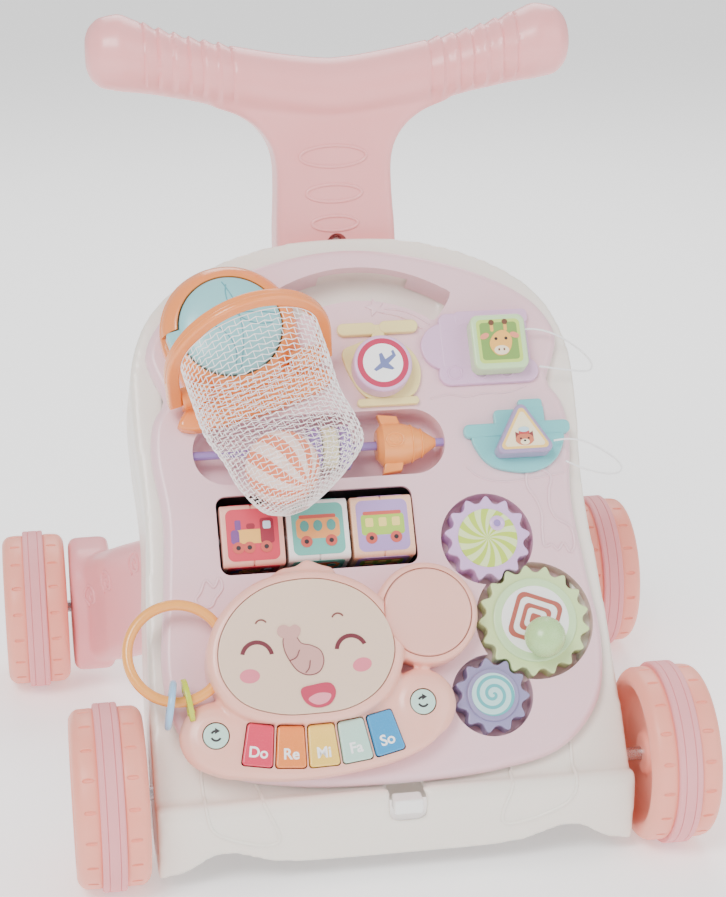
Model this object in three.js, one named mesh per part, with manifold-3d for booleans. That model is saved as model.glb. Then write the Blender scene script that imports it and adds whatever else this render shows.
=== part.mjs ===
// Baby push walker with an activity panel, in millimetres.
// +Z is up, the front of the walker faces -Y, and the origin lies on the floor under its middle.
import * as THREE from 'three';
import { mergeVertices } from 'three/addons/utils/BufferGeometryUtils.js';
import Module from 'manifold-3d';

const wasm = await Module();
wasm.setup();

// ---------- driving dimensions ----------
const gap = 0.3;                 // between pieces that touch
const running = 0.4;             // around a piece that slides or turns
const wall = 2.6;                // moulded wall of shells and handle
const wheelBase = 287.5;
const frontTrack = 331;
const rearTrack = 401;
const wheel = { radius: 54, width: 43, bandWidth: 14, bandRise: 2.5, sides: 16, axle: 4, web: 3.5 };
const deckAngle = 55;            // activity panel above the horizontal
const deckFoot = { y: -165.75, z: 60 };
const panel = { length: 330, plate: 3, rim: 9 };
const shell = { halfWidth: 140, length: 341, split: -46, depth: 84, floorGap: 12.6 };
const frontAxle = { y: -wheelBase / 2, z: wheel.radius };
const rearAxle = { y: wheelBase / 2, z: wheel.radius };
const handle = { half: 130, endRadius: 24, gripRadius: 19.5, height: 447, neck: 76, depth: 36, y: 78,
  dip: 27 };
const radians = THREE.MathUtils.degToRad;

const colours = {
  cream: 0xf1ebe2, panelPink: 0xe8d2d8, handlePink: 0xf0bcbc, salmon: 0xf6b3a3, bandPink: 0xe8aab0,
  legPink: 0xecadb0, steel: 0xb9bcc0, orange: 0xf0955a, teal: 0x96c8cf, white: 0xf4f4f2,
  purple: 0xa58fc4, lilac: 0xd7b4d3, green: 0xc8e1a5, blue: 0x8686ae, red: 0xd03a50, mint: 0xb9d7c8,
  yellow: 0xefe095, boat: 0x78c3c8, plum: 0x9687af, peach: 0xf6c0ae, face: 0xe4c8b4, grey: 0x3c3c42,
  keyOrange: 0xec7a3c, keyYellow: 0xf0c86e, keyMint: 0xb4d2c3, keyBlue: 0x328cbe, leaf: 0xb9c832,
  sky: 0x9fc3e0, board: 0x2f6b46,
};

// Gear train: the green gear stands between the other two.
const gearModule = 3.75;
const gearTop = 2;
const greenAt = new THREE.Vector2(91, 88.5);
const gears = {
  green: { teeth: 17, at: greenAt, colour: colours.green },
  lilac: { teeth: 13, colour: colours.lilac, towards: 113.8 },
  blue: { teeth: 11, colour: colours.blue, towards: 234.5 },
};
Object.values(gears).forEach((gear) => {
  gear.pitch = (gear.teeth * gearModule) / 2;
  if (gear.at) return;
  const reach = gear.pitch + (gears.green.teeth * gearModule) / 2;
  gear.at = greenAt.clone().add(new THREE.Vector2(reach, 0).rotateAround(new THREE.Vector2(),
    radians(gear.towards)));
});
const tooth = { rise: 2.1, clearance: 0.35, sharpness: 1.5 };
const gearRecess = { depth: 13, clearance: 1.6, floor: 2 };
const gearPost = 4;


// ---------- shape helpers ----------
const point = (x, y) => new THREE.Vector2(x, y);

function circle(x, y, radius, sides = 24, phase = 0) {
  return Array.from({ length: sides }, (unused, i) => {
    const angle = phase + (2 * Math.PI * i) / sides;
    return point(x + radius * Math.cos(angle), y + radius * Math.sin(angle));
  });
}

function roundedBox(x, y, width, height, radius, steps = 3) {
  const points = [];
  const corners = [[1, 1], [-1, 1], [-1, -1], [1, -1]];
  corners.forEach(([sx, sy], corner) => {
    for (let i = 0; i <= steps; i += 1) {
      const angle = (Math.PI / 2) * (corner + i / steps);
      const cx = x + sx * (width / 2 - radius);
      const cy = y + sy * (height / 2 - radius);
      points.push(point(cx + radius * Math.cos(angle), cy + radius * Math.sin(angle)));
    }
  });
  return points;
}

// A smooth closed outline through a few points.
function smooth(list, count) {
  const curve = new THREE.CatmullRomCurve3(list.map(([x, y]) => new THREE.Vector3(x, y, 0)), true);
  return curve.getSpacedPoints(count).slice(0, count).map((p) => point(p.x, p.y));
}

// Right half of a symmetric outline, from the bottom to the top, made whole.
function symmetric(half, count) {
  const left = half.filter(([x]) => x > 0).map(([x, y]) => [-x, y]).reverse();
  return smooth([...half, ...left], count);
}

// Moves every edge of a counter-clockwise outline inwards.
function inset(points, distance) {
  const n = points.length;
  const edges = points.map((a, i) => {
    const along = points[(i + 1) % n].clone().sub(a).normalize();
    return { along, start: a.clone().add(point(-along.y, along.x).multiplyScalar(distance)) };
  });
  return edges.map((edge, i) => {
    const before = edges[(i + n - 1) % n];
    const cross = before.along.cross(edge.along);
    if (Math.abs(cross) < 1e-4) return edge.start.clone();
    const t = edge.start.clone().sub(before.start).cross(edge.along) / cross;
    return before.start.clone().add(before.along.clone().multiplyScalar(t));
  });
}

const turned = (points, degrees, x = 0, y = 0) => points.map((p) => (
  p.clone().rotateAround(point(0, 0), radians(degrees)).add(point(x, y))));

// ---------- solid helpers ----------
function toSolid(geometry) {
  const bare = geometry.clone();
  bare.deleteAttribute('normal');
  bare.deleteAttribute('uv');
  const merged = mergeVertices(bare, 1e-4);
  const index = merged.index.array;
  const kept = [];
  for (let i = 0; i < index.length; i += 3) {
    const [a, b, c] = [index[i], index[i + 1], index[i + 2]];
    if (a !== b && b !== c && c !== a) kept.push(a, b, c);
  }
  const vertProperties = new Float32Array(merged.attributes.position.array);
  return new wasm.Manifold(new wasm.Mesh({ numProp: 3, vertProperties, triVerts: new Uint32Array(kept) }));
}

function toGeometry(solid) {
  const mesh = solid.getMesh();
  const geometry = new THREE.BufferGeometry();
  geometry.setAttribute('position', new THREE.BufferAttribute(mesh.vertProperties, 3));
  geometry.setIndex(new THREE.BufferAttribute(mesh.triVerts, 1));
  return geometry;
}

function slab(points, low, high, bevel = 0, place = null) {
  const options = {
    depth: high - low - 2 * bevel, bevelEnabled: bevel > 0, bevelThickness: bevel,
    bevelSize: bevel, bevelOffset: -bevel, bevelSegments: 1,
  };
  const geometry = new THREE.ExtrudeGeometry(new THREE.Shape(points), options);
  geometry.translate(0, 0, low + bevel);
  if (place) geometry.applyMatrix4(place);
  return toSolid(geometry);
}

// Solid of revolution about +Z; the profile holds [radius, height] pairs.
function lathe(profile, sides, phase = 0) {
  const points = profile.map(([radius, height]) => point(radius, height));
  const geometry = new THREE.LatheGeometry(points, sides, phase);
  geometry.rotateX(Math.PI / 2);
  return geometry;
}

function upright(geometry) {
  const solid = toSolid(geometry);
  if (solid.volume() >= 0) return solid;
  const flipped = geometry.index ? geometry.toNonIndexed() : geometry.clone();
  const array = flipped.attributes.position.array;
  for (let i = 0; i < array.length; i += 9) {
    for (let k = 0; k < 3; k += 1) [array[i + k], array[i + 3 + k]] = [array[i + 3 + k], array[i + k]];
  }
  return toSolid(flipped);
}

// Skin through rings of points, closed by a fan at each end.
function loft(rings) {
  const positions = [];
  const push = (...corners) => corners.forEach((p) => positions.push(p.x, p.y, p.z));
  const sides = rings[0].length;
  for (let r = 0; r + 1 < rings.length; r += 1) {
    for (let i = 0; i < sides; i += 1) {
      const j = (i + 1) % sides;
      push(rings[r][i], rings[r][j], rings[r + 1][j]);
      push(rings[r][i], rings[r + 1][j], rings[r + 1][i]);
    }
  }
  const middle = (ring) => ring.reduce((sum, p) => sum.add(p), new THREE.Vector3()).divideScalar(sides);
  const [first, last] = [rings[0], rings[rings.length - 1]];
  for (let i = 0; i < sides; i += 1) {
    const j = (i + 1) % sides;
    push(first[j], first[i], middle(first));
    push(last[i], last[j], middle(last));
  }
  const geometry = new THREE.BufferGeometry();
  geometry.setAttribute('position', new THREE.Float32BufferAttribute(positions, 3));
  return upright(geometry);
}

function torus(ringRadius, tubeRadius, x, y, z, tubeSides = 6, ringSides = 24) {
  const geometry = new THREE.TorusGeometry(ringRadius, tubeRadius, tubeSides, ringSides);
  geometry.translate(x, y, z);
  return toSolid(geometry);
}

function rod(radius, from, to, y, z, sides = 12) {
  const geometry = new THREE.CylinderGeometry(radius, radius, to - from, sides);
  geometry.rotateZ(-Math.PI / 2);
  geometry.translate((from + to) / 2, y, z);
  return toSolid(geometry);
}

const basis = (x, y, z) => new THREE.Matrix4().makeBasis(
  new THREE.Vector3(...x), new THREE.Vector3(...y), new THREE.Vector3(...z));
const alongX = basis([0, 1, 0], [0, 0, 1], [1, 0, 0]);
const alongY = basis([1, 0, 0], [0, 0, 1], [0, -1, 0]);
const deckPlace = new THREE.Matrix4().makeRotationX(radians(deckAngle));
deckPlace.setPosition(0, deckFoot.y, deckFoot.z);

const walker = new THREE.Group();
const deck = new THREE.Group();      // panel coordinates: x across, y up the panel, z out of it
deck.rotation.x = radians(deckAngle);
deck.position.set(0, deckFoot.y, deckFoot.z);
walker.add(deck);

function addPiece(parent, name, solid, colour, roughness = 0.4, metalness = 0) {
  const material = new THREE.MeshStandardMaterial({ color: colour, roughness, metalness });
  const mesh = new THREE.Mesh(toGeometry(solid), material);
  mesh.name = name;
  parent.add(mesh);
  return mesh;
}

// ---------- body shells ----------
const panelOutline = symmetric([
  [0, 0], [60, 3], [100, 13], [124, 38], [131, 72], [127, 120], [124, 165], [128, 205], [125, 226],
  [118, 238], [124, 254], [127, 268], [118, 287], [98, 303], [55, 321], [0, panel.length],
], 44);

const shellOutline = symmetric([
  [0, -150], [70, -150], [shell.halfWidth, -150], [shell.halfWidth, -60], [shell.halfWidth, 40],
  [137, 120], [134, 170], [137, 225], [136, 262], [125, 292], [103, 314], [58, 334], [0, shell.length],
], 44);

function deckToSide(v, w) {
  const [c, s] = [Math.cos(radians(deckAngle)), Math.sin(radians(deckAngle))];
  return point(deckFoot.y + v * c - w * s, deckFoot.z + v * s + w * c);
}

// Side profile of both shells together, in (y, z), counter-clockwise from the skirt's front edge.
const topBack = point(deckToSide(shell.length, -shell.depth).x + 6,
  deckToSide(shell.length, -shell.depth).y + 26);
const sideProfile = [
  point(frontAxle.y - 18, -5), point(frontAxle.y + 34, -5), point(frontAxle.y + 62, 36),
  point(frontAxle.y + 96, 66), topBack, point(topBack.x - 18, topBack.y + 14),
  deckToSide(shell.length + 2, -panel.rim - gap), deckToSide(-2, -panel.rim - gap),
  point(deckFoot.y - 4, deckFoot.z - 4), point(deckFoot.y - 6, deckFoot.z - 14),
];

function wholeShell(inwards) {
  const front = slab(inset(shellOutline, inwards), -190, 40, 0, deckPlace);
  const side = slab(inset(sideProfile, inwards), -200, 200, 0, alongX);
  return front.intersect(side);
}

// Everything in front of (or behind) the plane where the two shells meet.
function halfSpace(low, high) {
  return slab(roundedBox(0, 100, 500, 900, 10), low, high, 0, deckPlace);
}

// The wavy lower edge of the skirt: everything under it is cut away.
function underSkirt() {
  const g = shell.floorGap;
  const edge = [[142, -30], [142, 9], [133, 10.6], [124, 12.5], [117, 18], [104, g + 11], [92, g + 8],
    [82, g + 4],
    [60, g + 1.2], [35, g], [0, g]];
  const left = edge.filter(([x]) => x > 0).map(([x, z]) => point(-x, z)).reverse();
  const points = [...edge.map(([x, z]) => point(x, z)), ...left];
  return slab(points, -250, 250, 0, alongY);
}

const slotArc = (radius, from, to, steps) => Array.from({ length: steps + 1 }, (unused, i) => {
  const angle = radians(from + ((to - from) * i) / steps);
  return point(4 + radius * Math.cos(angle), 216 + radius * Math.sin(angle));
});
const carry = { inner: 79, outer: 101, half: 36 };
const carryOutline = [
  ...slotArc(carry.outer, 90 - carry.half, 90 + carry.half, 12),
  ...slotArc(carry.inner, 90 + carry.half, 90 - carry.half, 10),
];
const carryPocket = { depth: 26, grow: 2.4 };

const skirtCut = underSkirt();
const hollow = wholeShell(wall);
const skin = wholeShell(0).subtract(hollow).subtract(skirtCut);
const bottomOpening = slab([point(frontAxle.y - 12, -20), point(frontAxle.y + 50, -20),
  point(frontAxle.y + 50, 32), point(frontAxle.y - 12, 32)], -(shell.halfWidth - 8), shell.halfWidth - 8,
  0, alongX);
const greenRecess = gears.green.pitch + tooth.rise + gearRecess.clearance + gearRecess.floor;
const toyOpening = slab(roundedBox(0, 148, 232, 262, 12), -40, 0, 0, deckPlace)
  .add(slab(circle(greenAt.x, greenAt.y, greenRecess + 2 * gap, 30), -40, 0, 0, deckPlace));
const pocketWall = slab(inset(carryOutline, -carryPocket.grow), -carryPocket.depth, -panel.rim - gap, 0,
  deckPlace);
const pocketHollow = slab(carryOutline, -carryPocket.depth + wall, 10, 0, deckPlace);
const latch = { x: 4.5, z: 47, width: 18, height: 15, travel: 3 };
const latchHole = slab(roundedBox(latch.x, latch.z, latch.width, latch.height, 2), 150, 200, 0, alongY);
const frontAxleHole = rod(wheel.axle + gap, -170, 170, frontAxle.y, frontAxle.z);

// The handle's neck passes through the top wall; the same outline, grown, makes its socket.
function neckOutline(grow) {
  const half = handle.neck / 2 + grow;
  return [point(half, 0), point(half, 90), point(-half, 90), point(-half, 0)];
}
const neckTilt = new THREE.Matrix4().makeRotationX(radians(-7));
neckTilt.setPosition(0, handle.y - 13.5, 290);
const neckPlace = neckTilt.clone().multiply(alongY);
const neckSocket = slab(neckOutline(gap), -handle.depth / 2 - gap, handle.depth / 2 + gap, 0, neckPlace);

// The arm's rings keep their places between the root in the shell and the rear axle as either one moves.
const legRoot = { x: 100, y: -10 };
const legs = [-1, 1].map((side) => makeLeg(side));

function makeLeg(side) {
  const inner = rearTrack / 2 - wheel.width / 2 - 2.5;
  const reach = { x: (inner - legRoot.x) / 76.5, y: (rearAxle.y - legRoot.y) / 153.75 };
  const ring = (x, y, z, thick, tall, grow) => roundedBox(0, 0, 2 * (thick - grow), 2 * (tall - grow),
    13 - grow, 2).map((p) => {
    const across = new THREE.Vector3(0.86 * side, -0.5, 0).multiplyScalar(p.x);
    const middle = new THREE.Vector3((legRoot.x + (x - legRoot.x) * reach.x) * side,
      legRoot.y + (y - legRoot.y) * reach.y, z);
    return middle.add(across).add(new THREE.Vector3(0, 0, p.y));
  });
  const arm = (grow, start) => loft([
    ring(100 - start, -10 - start, 128, 17, 40, grow), ring(118, 36, 104, 18, 40, grow),
    ring(138, 84, 80, 20, 41, grow), ring(152, 122, 62, 20, 40, grow),
  ]);
  const drum = (grow) => slab(inset(roundedBox(rearAxle.y - 6, rearAxle.z + 4, 70, 88, 26, 3), grow),
    side > 0 ? inner - 28 + grow : -inner + grow, side > 0 ? inner - grow : -inner + 28 - grow,
    5 - grow * 0.6, alongX);
  const bore = rod(wheel.axle + gap, side * inner - 40, side * inner + 40, rearAxle.y, rearAxle.z);
  const boss = rod(wheel.axle + 4, side > 0 ? inner - 27 : -inner + 1, side > 0 ? inner - 1 : -inner + 27,
    rearAxle.y, rearAxle.z);
  const outer = arm(0, 0).add(drum(0));
  const hollowLeg = arm(3, 20).add(drum(3));
  return outer.subtract(wholeShell(-gap)).subtract(hollowLeg.subtract(boss)).subtract(bore);
}

const frontHalf = skin.intersect(halfSpace(shell.split, 60))
  .add(pocketWall.intersect(wholeShell(0)))
  .subtract(pocketHollow).subtract(toyOpening).subtract(frontAxleHole).subtract(latchHole)
  .subtract(neckSocket).subtract(bottomOpening);
const backHalf = skin.intersect(halfSpace(-260, shell.split - gap))
  .subtract(frontAxleHole).subtract(neckSocket).subtract(bottomOpening);
addPiece(walker, 'front_shell', frontHalf, colours.cream, 0.35);
addPiece(walker, 'back_shell', backHalf, colours.cream, 0.45);
addPiece(walker, 'rear_leg_left', legs[0], colours.legPink);
addPiece(walker, 'rear_leg_right', legs[1], colours.legPink);

const latchButton = slab(roundedBox(latch.x, latch.z, latch.width - 2 * running, 9, 1.5), 166, 174, 1,
  alongY);
addPiece(walker, 'latch_button', latchButton, colours.white);

// ---------- handle ----------
function wholeHandle(inwards) {
  const half = handle.neck / 2;
  const top = handle.height - 290 - 36;
  const neckShape = inset([point(half, 6), point(half - 6, 70), point(half - 4, top - 24),
    point(half + 10, top + 2),
    point(half + 16, top + 20), point(-half - 16, top + 20), point(-half - 10, top + 2),
    point(-half + 4, top - 24),
    point(-half + 6, 70), point(-half, 6)], inwards);
  const neck = slab(neckShape, -handle.depth / 2 + inwards, handle.depth / 2 - inwards, 7 - inwards * 0.6,
    neckPlace);
  const stations = [[-handle.half - 20, 15], [-handle.half - 13, 21], [-handle.half, handle.endRadius],
    [-handle.half + 18, 21],
    [-86, handle.gripRadius], [-50, handle.gripRadius + 0.5], [0, 21]];
  const all = [...stations, ...stations.slice(0, -1).map(([x, r]) => [-x, r]).reverse()];
  const grips = loft(all.map(([x, radius]) => {
    const lift = handle.height - handle.dip * (1 - Math.min(1, Math.abs(x) / handle.half) ** 1.4);
    const end = Math.abs(x) > handle.half + 15 ? inwards : 0;
    return circle(0, 0, radius - inwards, 12).map((p) => new THREE.Vector3(x - Math.sign(x) * end,
      handle.y - 3 + p.x, lift + p.y));
  }));
  return neck.add(grips);
}
const handleWall = wholeHandle(0).subtract(wholeHandle(wall));
const behind = (low, high) => slab([point(-200, 200), point(200, 200), point(200, 520), point(-200, 520)],
  -high, -low, 0, alongY);
const handlePlane = handle.y - 4;
addPiece(walker, 'handle_front', handleWall.intersect(behind(-50, handlePlane)), colours.handlePink);
addPiece(walker, 'handle_back', handleWall.intersect(behind(handlePlane + gap, 200)), colours.handlePink);

// ---------- wheels ----------
function wheelBody() {
  const half = wheel.width / 2;
  const band = wheel.bandWidth / 2 + gap;
  const rim = wheel.radius - wheel.bandRise;
  const seat = rim - 2;
  const hub = wheel.axle + 8;
  const bore = wheel.axle + running;
  const face = half - 7.5;
  return [[bore, -half], [hub, -half], [hub, face - wheel.web], [seat - 4, face - wheel.web],
    [seat - 4, -half],
    [rim - 4, -half], [rim - 0.3, -half + 5], [rim, -band], [seat, -band], [seat, band], [rim, band],
    [rim - 0.3, half - 5], [rim - 4, half], [rim - 12, face], [bore, face], [bore, -half]];
}
function treadBand() {
  const half = wheel.bandWidth / 2;
  const seat = wheel.radius - wheel.bandRise - 2 + gap;
  const top = wheel.radius / Math.cos(Math.PI / wheel.sides);
  return [[seat, -half], [top - 1, -half], [top, -half + 1], [top, half - 1], [top - 1, half],
    [seat, half], [seat, -half]];
}
const corners = [
  ['front_left', -1, frontTrack / 2, frontAxle], ['front_right', 1, frontTrack / 2, frontAxle],
  ['rear_left', -1, rearTrack / 2, rearAxle], ['rear_right', 1, rearTrack / 2, rearAxle],
];
function wheelSolid(profile, side, x, axle) {
  const geometry = lathe(profile, wheel.sides, Math.PI / wheel.sides);
  geometry.rotateY((side * Math.PI) / 2);
  geometry.translate(side * x, axle.y, axle.z);
  return upright(geometry);
}
corners.forEach(([name, side, x, axle]) => {
  addPiece(walker, `wheel_${name}`, wheelSolid(wheelBody(), side, x, axle), colours.salmon, 0.5);
  addPiece(walker, `tread_${name}`, wheelSolid(treadBand(), side, x, axle), colours.bandPink, 0.7);
});
const axleEnd = wheel.width / 2 - 4;
addPiece(walker, 'front_axle', rod(wheel.axle, -frontTrack / 2 - axleEnd, frontTrack / 2 + axleEnd,
  frontAxle.y, frontAxle.z), colours.steel, 0.3, 1);
[['rear_axle_left', -1], ['rear_axle_right', 1]].forEach(([name, side]) => {
  const ends = [side * (rearTrack / 2 - wheel.width / 2 - 26), side * (rearTrack / 2 + axleEnd)];
  addPiece(walker, name, rod(wheel.axle, Math.min(...ends), Math.max(...ends), rearAxle.y, rearAxle.z),
    colours.steel, 0.3, 1);
});

// ---------- activity panel ----------
const blockWindow = { x: -33.5, y: 152, width: 118, height: 48 };
const block = { size: 37, round: 4, axleDepth: -14, axle: 3, pitch: 38.9 };
const blockSweep = (block.size / 2 - block.round) * Math.SQRT2 + block.round;
const slider = { x: -27, y: 203.5, width: 153, height: 41, depth: 21, axis: -6, rod: 2.6 };
const plates = { rise: 3.2 };

const recesses = [
  ...Object.values(gears).map((gear) => (
    { outline: circle(gear.at.x, gear.at.y, gear.pitch + tooth.rise + gearRecess.clearance, 20),
    depth: gearRecess.depth })),
  { outline: roundedBox(slider.x, slider.y, slider.width, slider.height, 20, 6), depth: slider.depth },
];
const windowOutline = roundedBox(blockWindow.x, blockWindow.y, blockWindow.width, blockWindow.height, 6);

function frontPanel() {
  let solid = slab(panelOutline, -panel.rim, 0, 2.2)
    .subtract(slab(inset(panelOutline, wall), -panel.rim - 1, -panel.plate));
  recesses.forEach(({ outline, depth }) => {
    solid = solid.add(slab(inset(outline, -gearRecess.floor), -depth - gearRecess.floor, -1));
  });
  solid = solid.add(slab(inset(carryOutline, -2), -panel.rim, -1));
  recesses.forEach(({ outline, depth }) => {
    solid = solid.subtract(slab(outline, -depth, 5));
  });
  solid = solid.subtract(slab(carryOutline, -panel.rim - 1, 5)).subtract(slab(windowOutline, -30, 5));
  Object.values(gears).forEach((gear) => {
    solid = solid.add(slab(circle(gear.at.x, gear.at.y, gearPost, 12), -gearRecess.depth - 1, -2));
  });
  const sliderHoles = rod(slider.rod + gap, slider.x - slider.width / 2 - 1.2,
    slider.x + slider.width / 2 + 1.2,
    slider.y, slider.axis, 10);
  return solid.subtract(sliderHoles);
}
addPiece(deck, 'front_panel', frontPanel(), colours.panelPink);

// ---------- gears ----------
function gearOutline(gear, phase) {
  const steps = gear.teeth * 4;
  return Array.from({ length: steps }, (unused, i) => {
    const angle = (2 * Math.PI * i) / steps;
    const rise = ((1 + Math.cos(gear.teeth * (angle - phase))) / 2) ** tooth.sharpness;
    const radius = gear.pitch - tooth.clearance - tooth.rise * (1 - 2 * rise);
    return point(gear.at.x + radius * Math.cos(angle), gear.at.y + radius * Math.sin(angle));
  });
}
function gearSolid(name) {
  const gear = gears[name];
  const facing = radians((gear.towards || 0) + 180);
  const tip = (Math.PI / gear.teeth);
  const greenPhase = radians(gears.lilac.towards);
  const phases = { green: greenPhase, lilac: facing + tip, blue: facing + meshPhase(greenPhase) };
  const bottom = -gearRecess.depth + running;
  const body = slab(gearOutline(gear, phases[name]), bottom, gearTop)
    .subtract(slab(circle(gear.at.x, gear.at.y, gearPost + running, 12), bottom - 1, -1.5));
  const rimGroove = slab(circle(gear.at.x, gear.at.y, gear.pitch - 4.5, 16), gearTop - 0.8, gearTop + 2);
  return body.subtract(rimGroove);
}
// How far the blue gear's tooth has to turn so that it meets a valley of the green one.
function meshPhase(greenPhase) {
  const green = gears.green.teeth;
  const behindTooth = ((radians(gears.blue.towards) - greenPhase) * green) / (2 * Math.PI);
  const part = behindTooth - Math.floor(behindTooth);
  return ((1 / 2 + part) * 2 * Math.PI) / gears.blue.teeth;
}
const knob = { x: 1.4, y: -13.4, radius: 12, height: 16, neck: 5 };
function knobSolid() {
  const [x, y] = [greenAt.x + knob.x, greenAt.y + knob.y];
  const ball = new THREE.SphereGeometry(knob.radius, 12, 8);
  ball.rotateX(Math.PI / 2);
  ball.translate(x, y, knob.height);
  return toSolid(ball).add(slab(circle(x, y, knob.neck, 12), gearTop - 2, knob.height));
}
Object.keys(gears).forEach((name) => {
  const solid = name === 'green' ? gearSolid(name).add(knobSolid()) : gearSolid(name);
  addPiece(deck, `gear_${name}`, solid, gears[name].colour);
});

// ---------- turning blocks ----------
const trayWall = 1.6;
const trayHalf = point(blockWindow.width / 2 + 3.5, blockSweep + 1.5);
const trayDepth = block.axleDepth - blockSweep - 1;
const trayWalls = slab(roundedBox(blockWindow.x, blockWindow.y, 2 * (trayHalf.x + trayWall),
  2 * (trayHalf.y + trayWall), 4), trayDepth - trayWall, -panel.plate - gap);
const tray = trayWalls.subtract(slab(roundedBox(blockWindow.x, blockWindow.y, 2 * trayHalf.x,
  2 * trayHalf.y, 3),
  trayDepth, 0)).subtract(rod(block.axle + gap, blockWindow.x - trayHalf.x - 1.5,
  blockWindow.x + trayHalf.x + 1.5,
  blockWindow.y, block.axleDepth));
addPiece(deck, 'block_tray', tray, colours.grey);
addPiece(deck, 'block_rod', rod(block.axle, blockWindow.x - trayHalf.x - 1.2,
  blockWindow.x + trayHalf.x + 1.2,
  blockWindow.y, block.axleDepth), colours.steel, 0.3, 1);
[['block_red', -1, colours.red], ['block_white', 0, colours.white], ['block_peach', 1, colours.peach]]
  .forEach(([name, step, colour]) => {
    const x = blockWindow.x + step * block.pitch;
    const side = block.size / 2;
    const tilt = [4, 1, 2][step + 1];
    const section = turned(roundedBox(0, 0, block.size, block.size, block.round, 2), tilt, blockWindow.y,
      block.axleDepth);
    const body = slab(section, x - side, x + side, 1.2, alongX);
    addPiece(deck, name, body.subtract(rod(block.axle + running, x - side - 1, x + side + 1, blockWindow.y,
      block.axleDepth)), colour);
  });

// ---------- rocket and bead on their rod ----------
const rodEnd = slider.width / 2 + 0.9;
addPiece(deck, 'slider_rod', rod(slider.rod, slider.x - rodEnd, slider.x + rodEnd, slider.y, slider.axis,
  10),
  colours.purple);
const rocketAt = { tail: 8, nose: 46 };
function rocket() {
  const bodyShape = [[0, 0], [9.5, 0], [13, 3], [13, 15], [11, 22], [8, 28], [4, 34], [0, 37.5]];
  const body = lathe(bodyShape, 14);
  body.rotateY(Math.PI / 2);
  body.translate(rocketAt.tail, slider.y, slider.axis);
  const fins = slab([point(2, -18.8), point(14, -17.2), point(17, -8), point(17, 8), point(14, 17.2),
    point(2, 18.8),
    point(5, 8), point(5, -8)].map((p) => p.add(point(rocketAt.tail, slider.y))), slider.axis - 3,
    slider.axis + 3.5, 1);
  const bore = rod(slider.rod + running, rocketAt.tail - 5, rocketAt.nose + 9, slider.y, slider.axis, 10);
  return upright(body).add(fins).subtract(bore);
}
addPiece(deck, 'rocket', rocket(), colours.orange);
const bead = { x: -21, flange: 14, hub: 8, half: 13, roller: 13 };
const spool = lathe([[0, -bead.half], [bead.flange - 2, -bead.half], [bead.flange, -bead.half + 3],
  [bead.flange - 1, -5.5],
  [bead.hub, -5.5], [bead.hub, 5.5], [bead.flange - 1, 5.5], [bead.flange, bead.half - 3],
  [bead.flange - 2, bead.half],
  [0, bead.half]], 16);
spool.rotateY(Math.PI / 2);
spool.translate(bead.x, slider.y, slider.axis);
addPiece(deck, 'bead_purple', upright(spool).subtract(rod(slider.rod + running, bead.x - 20, bead.x + 20,
  slider.y,
  slider.axis, 10)), colours.purple);
const roller = lathe([[bead.hub + running, -4.8], [bead.roller - 1, -4.8], [bead.roller, -2.5],
  [bead.roller, 2.5],
  [bead.roller - 1, 4.8], [bead.hub + running, 4.8], [bead.hub + running, -4.8]], 16);
roller.rotateY(Math.PI / 2);
roller.translate(bead.x, slider.y, slider.axis);
addPiece(deck, 'bead_cream', upright(roller), colours.cream);

// ---------- basketball hoop ----------
const hoop = { x: -76, y: 277, tilt: 16, radius: 48, tube: 4.2, arm: 20, open: 69, pivotY: -33,
  pivotZ: 15, ear: 38 };
const hoopGroup = new THREE.Group();
hoopGroup.position.set(hoop.x, hoop.y, 0);
hoopGroup.rotation.z = radians(hoop.tilt);
deck.add(hoopGroup);
const disc = { radius: 31, rise: 22, floor: 7 };
function hoopBase() {
  const outline = symmetric([[0, -55], [28, -54], [44, -51], [50, -46], [45, -40], [38, -33], [38, -20],
    [42, 0], [37, 20],
    [22, 36], [0, 42]], 28);
  const dome = lathe([[0, 3], [41, 3], [41, 8], [38, 13], [34, 16.5], [32, 17], [0, 17]], 20);
  const pivot = (side) => rod(6, side > 0 ? hoop.ear - 12 : -hoop.ear - 6,
    side > 0 ? hoop.ear + 6 : 12 - hoop.ear,
    hoop.pivotY, hoop.pivotZ, 10);
  const prop = (side) => slab(roundedBox(side * (hoop.ear - 2), hoop.pivotY, 16, 12, 3), 2, hoop.pivotZ);
  const tab = slab(roundedBox(-disc.radius - 3, 2, 14, 13, 1), disc.floor, 30);
  const supports = pivot(-1).add(pivot(1)).add(prop(-1)).add(prop(1));
  return slab(outline, gap, 8.5, 1.5).add(upright(dome)).add(supports)
    .subtract(slab(circle(0, 0, disc.radius + running, 20), disc.floor, 30)).subtract(tab);
}
addPiece(hoopGroup, 'hoop_base', hoopBase(), colours.orange);
const discTravel = 2;
const discProfile = lathe([[0, disc.floor + discTravel + gap],
  [disc.radius, disc.floor + discTravel + gap], [disc.radius, 17.5],
  [disc.radius - 3, 19.4], [disc.radius * 0.6, 21.4], [0, disc.rise]], 20);
const discTab = slab(roundedBox(-disc.radius - 2, 2, 11, 12, 1), disc.floor + discTravel + gap, 17.5);
addPiece(hoopGroup, 'target_disc', upright(discProfile).add(discTab), colours.teal);

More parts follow.
